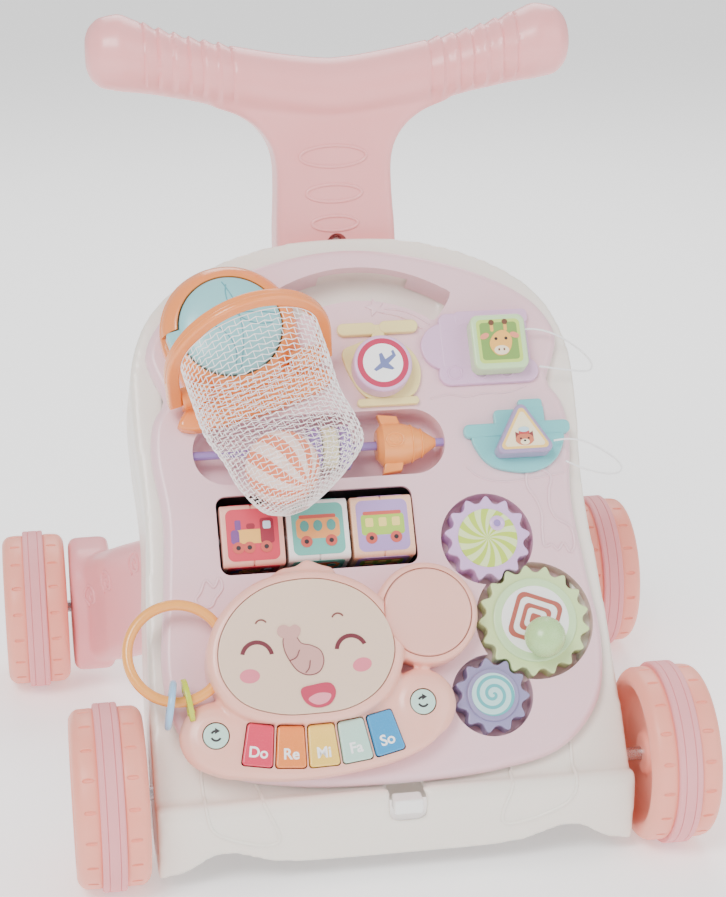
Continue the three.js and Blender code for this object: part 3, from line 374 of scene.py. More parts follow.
def inset(points, distance):
    # moves each edge of an anticlockwise outline inwards
    result = []
    for i, here in enumerate(points):
        before = (Vector(here) - Vector(points[i - 1])).normalized()
        after = (Vector(points[(i + 1) % len(points)]) - Vector(here)).normalized()
        normal = Vector((-before.y - after.y, before.x + after.x)).normalized()
        slant = max(0.4, normal.dot(Vector((-before.y, before.x))))
        result.append(tuple(Vector(here) + normal * (distance / slant)))
    return result


# mesh helpers
def inked(part, index):
    for face in part.faces:
        face.material_index = index
    return part


def slab(points, low, high, radius=1.0, segments=3, under=0.0, index=0):
    # an outline raised from low to high, its upper edge rounded, and its lower edge too if under is set
    part = bmesh.new()
    base = part.faces.new([part.verts.new((x, y, low)) for x, y in points])
    raised = bmesh.ops.extrude_face_region(part, geom=[base])
    moved = [g for g in raised["geom"] if isinstance(g, bmesh.types.BMVert)]
    bmesh.ops.translate(part, verts=moved, vec=(0, 0, high - low))
    bmesh.ops.recalc_face_normals(part, faces=part.faces)
    for level, size in ((high, radius), (low, under)):
        if size > 0:
            rim = [e for e in part.edges if all(abs(v.co.z - level) < 1e-4 for v in e.verts)]
            bmesh.ops.bevel(part, geom=rim, offset=size, offset_type="OFFSET", segments=segments,
                            profile=0.5, affect="EDGES", material=-1, clamp_overlap=True)
    return inked(part, index)


def turned(profile, sides=64, index=0):
    # spins (radius, height) pairs about z
    part = bmesh.new()
    verts = [part.verts.new((radius, 0, height)) for radius, height in profile]
    edges = [part.edges.new(pair) for pair in zip(verts, verts[1:])]
    bmesh.ops.spin(part, geom=verts + edges, cent=(0, 0, 0), axis=(0, 0, 1), angle=math.tau, steps=sides,
                   use_merge=True)
    bmesh.ops.remove_doubles(part, verts=part.verts, dist=1e-3)
    bmesh.ops.recalc_face_normals(part, faces=part.faces)
    return inked(part, index)


def ringLoft(rings, index=0):
    # skins rings of points one after another and closes both ends
    part = bmesh.new()
    loops = []
    for ring in rings:
        verts = [part.verts.new(p) for p in ring]
        loops.append([part.edges.new((verts[i - 1], verts[i])) for i in range(len(verts))])
    for one, other in zip(loops, loops[1:]):
        bmesh.ops.bridge_loops(part, edges=one + other)
    bmesh.ops.holes_fill(part, edges=part.edges, sides=0)
    bmesh.ops.recalc_face_normals(part, faces=part.faces)
    return inked(part, index)


def barCurve(name, points, radius, closed=False, sides=4):
    # a round bar along a line of points
    line = bpy.data.curves.new(name, "CURVE")
    line.dimensions = "3D"
    line.bevel_depth = radius
    line.bevel_resolution = sides
    line.use_fill_caps = True
    spline = line.splines.new("POLY")
    spline.points.add(len(points) - 1)
    for spot, p in zip(spline.points, points):
        spot.co = (*p, 1) if len(p) == 3 else (*p, 0, 1)
    spline.use_cyclic_u = closed
    return line


def takeCurve(curve):
    # the curve's surface as a mesh; the curve goes
    holder = bpy.data.objects.new("line", curve)
    bpy.context.scene.collection.objects.link(holder)
    mesh = bpy.data.meshes.new_from_object(holder.evaluated_get(bpy.context.evaluated_depsgraph_get()))
    part = bmesh.new()
    part.from_mesh(mesh)
    bpy.data.objects.remove(holder)
    bpy.data.curves.remove(curve)
    bpy.data.meshes.remove(mesh)
    return part


def tube(points, radius, closed=False, sides=4, index=0):
    part = takeCurve(barCurve("bar", points, radius, closed, sides))
    bmesh.ops.remove_doubles(part, verts=part.verts, dist=1e-4)
    return inked(part, index)


def placed(part, matrix):
    part.transform(matrix)
    if matrix.determinant() < 0:
        bmesh.ops.reverse_faces(part, faces=part.faces)
    return part


def joined(*parts):
    whole = bmesh.new()
    for part in parts:
        mesh = bpy.data.meshes.new("part")
        part.to_mesh(mesh)
        part.free()
        whole.from_mesh(mesh)
        bpy.data.meshes.remove(mesh)
    return whole


def looseObject(name, part):
    mesh = bpy.data.meshes.new(name)
    part.to_mesh(mesh)
    part.free()
    item = bpy.data.objects.new(name, mesh)
    bpy.context.scene.collection.objects.link(item)
    return item


def takeMesh(item):
    # the object's mesh with its modifiers applied; the object goes
    mesh = bpy.data.meshes.new_from_object(item.evaluated_get(bpy.context.evaluated_depsgraph_get()))
    part = bmesh.new()
    part.from_mesh(mesh)
    old = item.data
    bpy.data.objects.remove(item)
    bpy.data.meshes.remove(old)
    bpy.data.meshes.remove(mesh)
    return part


def combined(part, tool, operation):
    item, other = looseObject("work", part), looseObject("tool", tool)
    modifier = item.modifiers.new("combine", "BOOLEAN")
    modifier.object = other
    modifier.operation = operation
    modifier.solver = "EXACT"
    result = takeMesh(item)
    bpy.data.objects.remove(other)
    return result


def softened(part, voxel, passes):
    # one even skin over a group of solids, with soft edges and fillets
    item = looseObject("work", part)
    remesh = item.modifiers.new("skin", "REMESH")
    remesh.mode = "VOXEL"
    remesh.voxel_size = voxel
    smooth = item.modifiers.new("soften", "SMOOTH")
    smooth.factor = 0.5
    smooth.iterations = passes
    return takeMesh(item)


def addPiece(name, part, body, materials, nodes=(), place=deckPlace, sharp=32, flatten=True, levels=0):
    part.transform(place)
    bmesh.ops.dissolve_degenerate(part, dist=1e-7, edges=part.edges)
    mesh = bpy.data.meshes.new(name)
    part.to_mesh(mesh)
    part.free()
    for material in materials if isinstance(materials, (list, tuple)) else [materials]:
        mesh.materials.append(material)
    mesh.shade_smooth()
    mesh.set_sharp_from_angle(angle=math.radians(sharp))
    piece = bpy.data.objects.new(name, mesh)
    bpy.context.scene.collection.objects.link(piece)
    if levels:
        finer = piece.modifiers.new("finer", "SUBSURF")
        finer.levels = finer.render_levels = levels
    if flatten:
        normals = piece.modifiers.new("evenShading", "WEIGHTED_NORMAL")
        normals.keep_sharp = True
    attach(piece, body)
    if nodes:
        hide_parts(*nodes)
    return piece


def flatPicture(layers):
    # thin printed layers, each a little above the one before it: (points, ink number)
    parts = [slab(points, -0.2, 0.1 + 0.05 * level, radius=0, index=ink)
             for level, (points, ink) in enumerate(layers)]
    return joined(*parts)


inkColours = {
    "maroon": (104, 30, 44), "brow": (120, 62, 58), "trunk": (206, 156, 148), "cheek": (226, 122, 140),
    "mouth": (190, 52, 84), "tongue": (236, 146, 160), "outline": (122, 62, 64), "black": (40, 34, 38),
    "white": (252, 252, 252), "red": (214, 62, 84), "crimson": (190, 44, 84), "amber": (244, 186, 96),
    "violet": (122, 74, 140), "glass": (206, 222, 240), "brick": (206, 92, 80), "darkRed": (150, 34, 58),
    "tealInk": (110, 190, 178), "coachOrange": (242, 164, 98), "deepTeal": (88, 160, 152),
    "violetInk": (178, 148, 206), "coachGreen": (170, 206, 82), "butter": (244, 222, 130),
    "fieldGreen": (128, 166, 84), "lime": (196, 222, 110), "giraffe": (244, 184, 94), "cream": (250, 232, 200),
    "horn": (110, 72, 52), "earPink": (236, 150, 120), "fox": (208, 120, 90), "foxDark": (130, 60, 60),
    "signYellow": (246, 206, 124), "signCream": (250, 236, 200), "redLine": (196, 74, 74),
    "sky": (190, 220, 232), "plane": (110, 120, 170),
}


def inks(*names):
    return [finish("ink_" + name, inkColours[name], rough=0.42, coat=0.15, mottle=0.2, bump=0.04)
            for name in names]


# the two thin cords that tether blocks to the panel
cordRoutes = {
    "squareTether": {"node": "square_tether", "diameter": 1.2, "points": [
        (104.6, 268, 9), (108, 268, 9), (113, 267.6, 8.6), (119, 266.4, 7.4), (125, 264.6, 5.6),
        (131, 262, 3.2), (137, 258.8, 0.4), (142.5, 255.4, -2.6), (146.5, 252, -5), (148.6, 249, -6.4),
        (148.4, 246, -6.4), (145.5, 243.6, -5), (140, 242.6, -2), (134, 242.6, 0.6), (128, 243, 2.2),
        (122, 243.6, 3.4), (117, 244.4, 4.2), (112.6, 245, 4.6)]},
    "triangleTether": {"node": "triangle_tether", "diameter": 1.2, "points": [
        (114.4, 196, 9), (118, 196.4, 9), (124, 196.6, 8.6), (130, 196.2, 7), (136, 195, 4.6), (142, 193, 1.6),
        (148, 190.4, -1.6), (153.6, 187.4, -4.6), (157.6, 184.2, -6.8), (159.2, 181, -7.8),
        (157.4, 178.4, -7.6), (152.6, 177, -5.8), (146, 176.8, -3), (139.4, 177.6, -0.2), (133, 179, 2.2),
        (127, 181.2, 3.8), (121.4, 184, 4.6)]},
}


def makeTether(name, route):
    line = [deckPlace @ Vector(p) for p in curveThrough(route["points"], 60, closed=False)]
    curve = barCurve(name, line, route["diameter"] / 2000)
    curve.materials.append(cordWhite)
    piece = bpy.data.objects.new(name, curve)
    bpy.context.scene.collection.objects.link(piece)
    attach(piece, "frame")
    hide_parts(route["node"])


for tetherName, tetherRoute in cordRoutes.items():
    makeTether(tetherName, tetherRoute)
print("tethers laid")


# activity panel
panel = {"rim": 9, "edge": 5.5, "depth": 23.4, "outline": [
    (0, 0), (60, 3), (100, 13), (124, 38), (131, 72), (127, 120), (124, 165), (128, 205), (125, 226),
    (118, 238), (124, 254), (127, 268), (118, 287), (98, 303), (55, 321), (0, 330)]}
window = {"x": -33.5, "y": 152, "width": 118, "height": 48, "corner": 6, "trayWidth": 132, "trayHeight": 58}
slider = {"x": -27, "y": 203.5, "width": 153, "height": 41, "depth": 21, "axis": -6}
carry = {"x": 4, "y": 216, "inner": 79, "outer": 101, "half": 36, "depth": 26}
gearSizes = {"green": {"teeth": 17, "x": 91, "y": 88.5}, "lilac": {"teeth": 13, "towards": 113.8},
             "blue": {"teeth": 11, "towards": 234.5}}
gearRule = {"module": 3.75, "rise": 2.1, "clearance": 0.35, "room": 1.6, "depth": 13, "sharpness": 1.5}
for gearSize in gearSizes.values():
    gearSize["pitch"] = gearSize["teeth"] * gearRule["module"] / 2
    if "towards" in gearSize:
        away = math.radians(gearSize["towards"])
        distance = gearSize["pitch"] + gearSizes["green"]["pitch"]
        gearSize["x"] = gearSizes["green"]["x"] + distance * math.cos(away)
        gearSize["y"] = gearSizes["green"]["y"] + distance * math.sin(away)


def carryOutline(grow=0):
    band = arcBand(carry["x"], carry["y"], carry["inner"] - grow, carry["outer"] + grow,
                   90 - carry["half"], 90 + carry["half"], 24)
    return curveThrough(band, 90)


def makePanel():
    outline = mirrored(panel["outline"], 180)
    body = slab(outline, -panel["rim"], 0, radius=panel["edge"], segments=6)
    belly = slab(inset(outline, 14), -panel["depth"], -4, radius=0)
    body = combined(body, belly, "UNION")
    cutters = [slab(roundedRect(slider["x"], slider["y"], slider["width"], slider["height"], 20, 12),
                    -slider["depth"], 5, radius=0, under=4)]
    for gear in gearSizes.values():
        room = gear["pitch"] + gearRule["rise"] + gearRule["room"]
        cutters.append(slab(disc(gear["x"], gear["y"], room, 64), -gearRule["depth"], 5, radius=0, under=1.5))
    cutters.append(slab(carryOutline(), -40, 5, radius=0))
    cutters.append(slab(roundedRect(window["x"], window["y"], window["width"], window["height"],
                                    window["corner"]), -40, 5, radius=0))
    cutters.append(slab(roundedRect(window["x"], window["y"], window["trayWidth"], window["trayHeight"], 4),
                        -40, -3.0, radius=0))
    for cutter in cutters:
        body = combined(body, cutter, "DIFFERENCE")
    lips = [e for e in body.edges if len(e.link_faces) == 2 and e.calc_face_angle(0) > 1.2
            and all(abs(v.co.z) < 1e-3 for v in e.verts)]
    bmesh.ops.bevel(body, geom=lips, offset=1.3, offset_type="OFFSET", segments=3, profile=0.5,
                    affect="EDGES", material=-1, clamp_overlap=True)
    return body


addPiece("activityPanel", makePanel(), "frame", panelPink, nodes=["front_panel"])
print("panel made")


# cream body shells
shell = {"split": -46, "seam": 0.5, "voxel": 2.0, "soften": 12, "wall": 4.5, "halfOutline": [
    (0, -150), (70, -150), (139, -150), (140, -60), (140, 40), (137, 120), (134, 170), (137, 225), (136, 262),
    (125, 292), (103, 314), (58, 334), (0, 341)],
    "side": [(-162, -6), (-110, -6), (-84, 34), (-50, 64), (97.6, 275.7), (108, 292), (98, 310), (78, 322),
             (38.5, 336.6), (-157.8, 52.6), (-167, 56.4), (-171.6, 50), (-171.4, 38), (-168, 16)],
    "skirt": [(143, -40), (143, 9), (133, 10.2), (124, 12.6), (116, 18), (107, 22.6), (96, 23), (86, 19.6),
              (74, 15.6), (58, 13.6), (35, 12.8), (0, 12.6)]}
# rounded rectangles as x, y, width, height and corner
shellCuts = {"under": (0, 0, 44, 60, 4), "underMiddle": (0, -136, 4), "toys": (0, 148, 234, 264, 45, 8),
             "toysDepth": 42, "latch": (4.5, 46.4, 20.5, 17.4, 2.5)}
alongX = Matrix(((0, 0, 1, 0), (1, 0, 0, 0), (0, 1, 0, 0), (0, 0, 0, 1)))
alongY = Matrix(((1, 0, 0, 0), (0, 0, -1, 0), (0, 1, 0, 0), (0, 0, 0, 1)))
deckMm = metres.inverted() @ deckPlace


def shellSolid(grow=0.0):
    front = slab(inset(mirrored(shell["halfOutline"], 120), grow), -190, 40, radius=0)
    front.transform(deckMm)
    side = slab(inset(shell["side"], grow), -200, 200, radius=0)
    side.transform(alongX)
    return combined(front, side, "INTERSECT")


def deckBox(low, high, width=500, height=900):
    box = slab(roundedRect(0, 100, width, height, 10, 2), low, high, radius=0)
    box.transform(deckMm)
    return box


def makeShell():
    half = shell["skirt"]
    edge = half[:2] + [tuple(p) for p in curveThrough(half[1:], 24, closed=False)][1:]
    edge += [(-x, z) for x, z in reversed(edge) if x > 0]
    under = slab(edge, -250, 250, radius=0)
    under.transform(alongY)
    whole = combined(shellSolid(), under, "DIFFERENCE")
    hollow = combined(shellSolid(shell["wall"]), deckBox(-200, 20, 500, 300), "INTERSECT")
    whole = combined(whole, hollow, "DIFFERENCE")
    opening = slab(roundedRect(*shellCuts["under"]), -130, 130, radius=0)
    opening.transform(alongX)
    opening.transform(Matrix.Translation(shellCuts["underMiddle"]))
    whole = combined(whole, opening, "DIFFERENCE")
    toys = slab(roundedRect(*shellCuts["toys"]), -shellCuts["toysDepth"], 5, radius=0)
    pocket = slab(carryOutline(2), -carry["depth"], 5, radius=0)
    latchHole = slab(roundedRect(*shellCuts["latch"]), 150, 190, radius=0)
    toys.transform(deckMm)
    pocket.transform(deckMm)
    latchHole.transform(alongY)
    for tool in (toys, pocket, latchHole):
        whole = combined(whole, tool, "DIFFERENCE")
    return whole


def halfShell(whole, low, high):
    part = combined(whole.copy(), deckBox(low, high), "INTERSECT")
    return softened(part, shell["voxel"], shell["soften"])


shellWhole = makeShell()
frontHalf = halfShell(shellWhole, shell["split"], 60)
shellTree = BVHTree.FromBMesh(frontHalf)
addPiece("frontShell", frontHalf, "frame", cream, nodes=["front_shell"], place=metres,
         flatten=False, sharp=180)
addPiece("backShell", halfShell(shellWhole, -260, shell["split"] - shell["seam"]), "frame", cream,
         nodes=["back_shell"], place=metres, flatten=False, sharp=180)
shellWhole.free()
print("shells made")


# push handle
handle = {"half": 130, "height": 447, "dip": 27, "y": 75, "split": 74, "neckY": 64.5, "neckBase": 290,
          "tilt": -7, "depth": 36, "voxel": 1.7, "soften": 14,
          "grip": [(0, 20), (50, 20), (86, 19.5), (112, 21), (130, 24), (143, 21.5), (149, 16), (151.5, 9)],
          "neck": [(38, 0), (38, 40), (36.5, 70), (36.5, 84), (39, 96), (46, 107), (58, 116), (74, 122)],
          "ribs": {"first": 62, "last": 117, "count": 6, "rise": 2.6},
          "ovals": [(92, 21, 6.6), (69, 17.5, 5.4), (50, 14.5, 4.6)]}


def handleFrame():
    return (Matrix.Translation((0, handle["neckY"], handle["neckBase"]))
            @ Matrix.Rotation(math.radians(handle["tilt"]), 4, "X"))


def handleLine(x):
    return handle["height"] - handle["dip"] * (1 - min(1, abs(x) / handle["half"]) ** 1.4)


def gripRadius(x):
    stations = handle["grip"]
    for (a, ra), (b, rb) in zip(stations, stations[1:]):
        if abs(x) <= b:
            share = (abs(x) - a) / (b - a)
            return ra + (rb - ra) * (share * share * (3 - 2 * share) if b < 140 else share)
    return stations[-1][1]


def handleSolid():
    ends = [130, 137, 143, 146, 149, 151.5]
    spots = [-x for x in reversed(ends)] + list(range(-120, 121, 10)) + ends
    rings = []
    for x in spots:
        radius = gripRadius(x)
        rings.append([(x, handle["y"] + radius * math.cos(a), handleLine(x) + radius * math.sin(a))
                      for a in (math.tau * i / 32 for i in range(32))])
    grips = ringLoft(rings)
    right = [tuple(p) for p in curveThrough(handle["neck"], 30, closed=False)]
    outline = right + [(74, 132), (-74, 132)] + [(-x, z) for x, z in reversed(right)]
    neck = slab(outline, -handle["depth"] / 2, handle["depth"] / 2, radius=9, segments=4, under=9)
    neck.transform(handleFrame() @ alongY)
    return softened(joined(grips, neck), handle["voxel"], handle["soften"])


def ribGrips(part):
    ribs = handle["ribs"]
    pitch = (ribs["last"] - ribs["first"]) / ribs["count"]
    for vert in part.verts:
        x, y, z = vert.co
        along = (abs(x) - ribs["first"]) / pitch
        if not 0 <= along <= ribs["count"]:
            continue
        out = Vector((0, y - handle["y"], z - handleLine(x)))
        facing = out.normalized().dot(Vector((0, -0.85, 0.53)))
        share = min(1, max(0, (facing + 0.1) / 0.45))
        step = along % 1
        ridge = step / 0.8 if step < 0.8 else (1 - step) / 0.2
        vert.co += out.normalized() * (ribs["rise"] * share * (ridge - 0.55))


def cutHandle(whole, keepFront):
    part = whole.copy()
    gapHalf = 0.15
    level = handle["split"] + (-gapHalf if keepFront else gapHalf)
    bmesh.ops.bisect_plane(part, geom=part.verts[:] + part.edges[:] + part.faces[:], plane_co=(0, level, 0),
                           plane_no=(0, 1, 0), clear_outer=keepFront, clear_inner=not keepFront)
    bmesh.ops.holes_fill(part, edges=[e for e in part.edges if e.is_boundary], sides=0)
    return part


handleWhole = handleSolid()
ribGrips(handleWhole)
handleTree = BVHTree.FromBMesh(handleWhole)


def ontoSurface(tree, points, direction, sink=0.0):
    # drops points onto a surface along a direction
    landed = []
    for p in points:
        hit = tree.ray_cast(Vector(p) - Vector(direction) * 200, Vector(direction))[0]
        if hit:
            landed.append(tuple(hit + Vector(direction) * sink))
    return landed


def handleOvals():
    parts = []
    for height, halfWidth, halfHeight in handle["ovals"]:
        ring = [(x, 0, z) for x, z in oval(-1, height, halfWidth, halfHeight, 48)]
        ring = [handleFrame() @ Vector(p) for p in ring]
        parts.append(tube(ontoSurface(handleTree, ring, (0, 1, 0), 0.1), 1.1, closed=True))
    return joined(*parts)


screw = {"x": 0, "z": 327, "radius": 6.4, "depth": 8}
wellAt = ontoSurface(handleTree, [(screw["x"], 0, screw["z"])], (0, 1, 0))[0]
wellCutter = slab(disc(0, 0, screw["radius"]), -screw["depth"], 30, radius=0)
wellCutter.transform(Matrix.Translation(wellAt) @ alongY)
handleFront = combined(cutHandle(handleWhole, True), wellCutter, "DIFFERENCE")
addPiece("handleFront", handleFront, "frame", handlePink, nodes=["handle_front"], place=metres,
         flatten=False, sharp=50)
addPiece("handleBack", cutHandle(handleWhole, False), "frame", handlePink,
         nodes=["handle_back"], place=metres, flatten=False, sharp=50)
addPiece("handleOvals", handleOvals(), "frame", handlePink, place=metres, flatten=False)
handleWhole.free()
print("handle made")


# wheels
wheelShape = {"radius": 54, "steps": 108, "grooves": 18, "grooveDepth": 1.4,
              "centres": {"front_left": (-165.5, -143.75), "front_right": (165.5, -143.75),
                          "rear_left": (-200.5, 143.75), "rear_right": (200.5, 143.75)}}


def makeWheel():
    half = [(0, 15), (10, 15), (12.4, 14.2), (13.2, 12), (14.6, 11.4), (34, 11.4), (37.4, 12.6), (39.6, 17.6),
            (41.4, 20.4), (44.4, 21.4), (47.4, 20.7), (50, 18.6), (51.3, 16.4), (51.5, 8.4), (51.2, 7.2),
            (50.4, 7)]
    part = turned(half + [(radius, -across) for radius, across in reversed(half)], wheelShape["steps"])
    treadFaces = [f for f in part.faces if f.calc_center_median().xy.length > 50.8
                  and 8.4 < abs(f.calc_center_median().z) < 16.4]
    pitch = math.tau / wheelShape["steps"]
    every = wheelShape["steps"] // wheelShape["grooves"]
    chosen = [f for f in treadFaces
              if int(math.atan2(f.calc_center_median().y, f.calc_center_median().x) // pitch) % every == 0]
    bmesh.ops.inset_individual(part, faces=chosen, thickness=0.12, depth=0)
    bmesh.ops.inset_individual(part, faces=chosen, thickness=0.35, depth=-wheelShape["grooveDepth"])
    return part


def makeBand():
    return turned([(50.6, -6.9), (53.2, -6.9), (54, -6.1), (54, -3.5), (53.4, -3.2), (54, -2.9), (54, 2.9),
                   (53.4, 3.2), (54, 3.5), (54, 6.1), (53.2, 6.9), (50.6, 6.9), (50.6, -6.9)], 96)


for wheelName, (wheelX, wheelY) in wheelShape["centres"].items():
    wheelPlace = metres @ Matrix.Translation((wheelX, wheelY, wheelShape["radius"])) @ alongX
    side = "Left" if "left" in wheelName else "Right"
    end = wheelName.split("_")[0]
    addPiece(end + "Wheel" + side, makeWheel(), "wheel_" + wheelName, salmon,
             nodes=["wheel_" + wheelName], place=wheelPlace, sharp=60, levels=1, flatten=False)
    addPiece(end + "Band" + side, makeBand(), "wheel_" + wheelName, bandPink,
             nodes=["tread_" + wheelName], place=wheelPlace)
print("wheels made")


# rear legs
leg = {"rings": [(84, -26, 134, 17, 40), (100, -10, 128, 17, 40), (118, 36, 104, 18, 40), (138, 84, 80, 20, 41),
                 (152, 122, 62, 20, 40)],
       "across": (0.86, -0.5, 0),
       "drum": {"y": 137.75, "z": 58, "long": 70, "tall": 88, "low": 148.5, "high": 176.5},
       "spirals": [(137.5, 33.8, 126), (157.4, 68.2, 100), (171.1, 91.7, 80)], "turns": 1.6, "reach": 9}


def makeLeg(side):
    rings = []
    for x, y, z, thick, tall in leg["rings"]:
        rings.append([(side * x + leg["across"][0] * side * p, y + leg["across"][1] * p, z + q)
                      for p, q in roundedRect(0, 0, 2 * thick, 2 * tall, 13, 4)])
    drum = leg["drum"]
    plate = slab(roundedRect(drum["y"], drum["z"], drum["long"], drum["tall"], 26, 8),
                 min(side * drum["low"], side * drum["high"]), max(side * drum["low"], side * drum["high"]),
                 radius=5, under=5)
    plate.transform(alongX)
    return softened(joined(ringLoft(rings), plate), 1.8, 10)


def legSpirals(tree, side):
    parts = []
    outward = Vector((side * leg["across"][0], leg["across"][1], 0)).normalized()
    along = Vector((-outward.y, outward.x, 0))
    for x, y, z in leg["spirals"]:
        middle = Vector((side * x, y, z))
        line = []
        for i in range(49):
            share = i / 48
            angle = math.tau * leg["turns"] * share + 0.6
            reach = leg["reach"] * (0.12 + 0.88 * share)
            line.append(middle + along * (reach * math.cos(angle)) + Vector((0, 0, reach * math.sin(angle))))
        landed = ontoSurface(tree, line, -outward, 0.2)
        if len(landed) > 20:
            parts.append(tube(landed, 1.15))
    return joined(*parts)


for side, sideName in ((-1, "left"), (1, "right")):
    legPart = makeLeg(side)
    legTree = BVHTree.FromBMesh(legPart)
    addPiece("rearLeg" + sideName.title(), legPart, "frame", legPink,
             nodes=["rear_leg_" + sideName], place=metres, flatten=False, sharp=180)
    addPiece("legSpirals" + sideName.title(), legSpirals(legTree, side), "frame", legPink,
             place=metres, flatten=False)
print("legs made")


# basketball toy
hoop = {"radius": 48, "arm": 20, "open": 69, "pivotY": -33, "pivotZ": 15, "band": 4}
hoopPlane = (Matrix.Translation((0, hoop["pivotY"], hoop["pivotZ"]))
             @ Matrix.Rotation(math.radians(hoop["open"]), 4, "X"))


def hoopBase():
    outline = mirrored([(0, -55), (28, -54), (44, -51), (50, -46), (45, -40), (38, -33), (38, -20), (42, 0),
                        (37, 20), (22, 36), (0, 42)], 96)
    plate = slab(outline, 0.3, 8.5, radius=3, segments=4)
    dome = turned([(0, 3), (41, 3), (41, 8), (40.2, 10.8), (38.2, 13.4), (35.4, 15.8), (33.2, 16.9), (32, 16.8),
                   (31.5, 15.8), (31.4, 7), (0, 7)], 96)
    body = combined(plate, dome, "UNION")
    body = combined(body, slab(disc(0, 0, 31.4, 96), 7, 30, radius=0), "DIFFERENCE")
    body = combined(body, slab(roundedRect(-36, 2, 15, 13, 2.5), 7, 30, radius=0), "DIFFERENCE")
    parts = [body]
    for side in (-1, 1):
        ear = slab(disc(hoop["pivotY"], hoop["pivotZ"], 6.3, 32), min(side * 26, side * 44),
                   max(side * 26, side * 44), radius=1.4, under=1.4)
        ear.transform(alongX)
        parts.append(ear)
        parts.append(slab(roundedRect(side * 36, hoop["pivotY"], 15, 12, 3), 2, hoop["pivotZ"], radius=1))
    return joined(*parts)


addPiece("hoopBase", hoopBase(), "frame", orange, nodes=["hoop_base"], place=hoopPlace,
         sharp=40)


def targetDisc():
    face = turned([(0, 9.3), (30.9, 9.3), (30.9, 17), (30.4, 17.9), (28.4, 19.2), (24, 20.5), (18.6, 21.4),
                   (9, 21.9), (0, 22)], 96)
    return joined(face, slab(roundedRect(-33, 2, 11.4, 11.4, 2), 9.3, 17.4, radius=1))


discPart = targetDisc()
discTree = BVHTree.FromBMesh(discPart)
addPiece("targetDisc", discPart, "target_disc", teal, nodes=["target_disc"], place=hoopPlace)


def discLines():
    routes = [[(-28.5, 4, 60), (-10, 7, 60), (10, 4, 60), (28.6, -2, 60)],
              [(4, 28.6, 60), (7, 10, 60), (4, -10, 60), (-4, -28.6, 60)]]
    routes += [[(24 * side + 21 * math.cos(a), 14 * side + 21 * math.sin(a), 60)
                for a in (math.radians(start + step * 12) for step in range(11))]
               for side, start in ((1, 150), (-1, -30))]
    lines = []
    for route in routes:
        fine = [p for p in curveThrough(route, 40, closed=False) if math.hypot(p[0], p[1]) < 28.8]
        lines.append(tube(ontoSurface(discTree, fine, (0, 0, -1), 0.2), 0.45))
    return joined(*lines)


# the disc lines stand for engraved grooves in the teal plastic; their darker teal is painted shade for the
# shadow in those grooves
tealGrooveShade = finish("tealGrooveShade", (92, 158, 168), rough=0.4)
addPiece("discLines", discLines(), "target_disc", tealGrooveShade, place=hoopPlace, flatten=False)


def hoopRing():
    inner, outer = hoop["radius"] - hoop["band"], hoop["radius"] + hoop["band"]
    outline = [(outer, -3), *arcBand(0, hoop["arm"], inner, outer, 0, 180, 40)[:41], (-outer, -3), (-inner, -3),
               *arcBand(0, hoop["arm"], inner, outer, 0, 180, 40)[41:], (inner, -3)]
    band = slab(outline, -4, 4, radius=1.8, segments=4, under=1.8)
    lipLine = [((outer - 0.2) * math.cos(a), hoop["arm"] + (outer - 0.2) * math.sin(a), 0.6)
               for a in (math.pi * i / 60 for i in range(61))]
    return joined(band, tube(lipLine, 0.5))


addPiece("hoopRing", hoopRing(), "hoop", orange, nodes=["hoop_ring"],
         place=hoopPlace @ hoopPlane)

netShape = {"columns": 64, "rows": 40, "strand": 0.7, "folds": 9, "foldDepth": 0.045, "rings": [
    {"x": 0, "s": 33.5, "a": 42.6, "b": 29.4}, {"x": 0, "y": -46, "z": 43, "a": 43, "b": 30, "lean": 78},
    {"x": 0, "y": -66, "z": 38, "a": 42.5, "b": 27.5, "lean": 86},
    {"x": 4, "y": -84, "z": 36, "a": 41.5, "b": 26.6, "lean": 90},
    {"x": 4.5, "y": -98.7, "z": 35.5, "a": 40, "b": 26.1, "lean": 90},
    {"x": 0, "y": -110, "z": 35, "a": 31, "b": 24.6, "lean": 90},
    {"x": -5, "y": -118.5, "z": 33.5, "a": 20, "b": 15, "lean": 90},
    {"x": -6.5, "y": -123.5, "z": 32, "a": 8, "b": 6, "lean": 90}]}


def netPoint(ring, angle):
    a, b = ring["a"] * math.cos(angle), ring["b"] * math.sin(angle)
    if "s" in ring:
        return hoopPlane @ Vector((ring["x"] + a, ring["s"] + b, 4.8))
    lean = math.radians(ring["lean"])
    return Vector((ring["x"] + a, ring["y"] + b * math.cos(lean), ring["z"] + b * math.sin(lean)))


def makeNet():
    part = bmesh.new()
    columns, rows = netShape["columns"], netShape["rows"]
    lines = []
    for i in range(columns):
        angle = math.tau * i / columns
        down = [netPoint(ring, angle) for ring in netShape["rings"]]
        lines.append([Vector(p) for p in curveThrough(down, rows, closed=False)])
    middles = [sum((line[j] for line in lines), Vector()) / columns for j in range(rows + 1)]
    verts = []
    for i, line in enumerate(lines):
        column = []
        for j, spot in enumerate(line):
            share = min(1, j / (rows * 0.4))
            wave = 1 + math.cos(netShape["folds"] * math.tau * i / columns + 0.05 * j)
            fold = 1 - netShape["foldDepth"] * share * wave / 2
            other = line[min(rows, j + 1)] if (i + j) % 2 else line[max(0, j - 1)]
            spot = spot.lerp(other, 0.17 if 0 < j < rows else 0)
            column.append(part.verts.new(middles[j] + (spot - middles[j]) * fold))
        verts.append(column)
    for j in range(rows):
        for i in range(j % 2, columns, 2):
            one, two, three = (verts[(i + k) % columns] for k in range(3))
            part.faces.new((one[j], two[j], three[j], three[j + 1], two[j + 1], one[j + 1]))
    bmesh.ops.recalc_face_normals(part, faces=part.faces)
    item = looseObject("netWork", part)
    wires = item.modifiers.new("strands", "WIREFRAME")
    wires.thickness = netShape["strand"]
    wires.use_even_offset = False
    wires.use_boundary = True
    return takeMesh(item)


net = addPiece("hoopNet", makeNet(), "hoop", netWhite, nodes=["net"], place=hoopPlace,
               flatten=False)

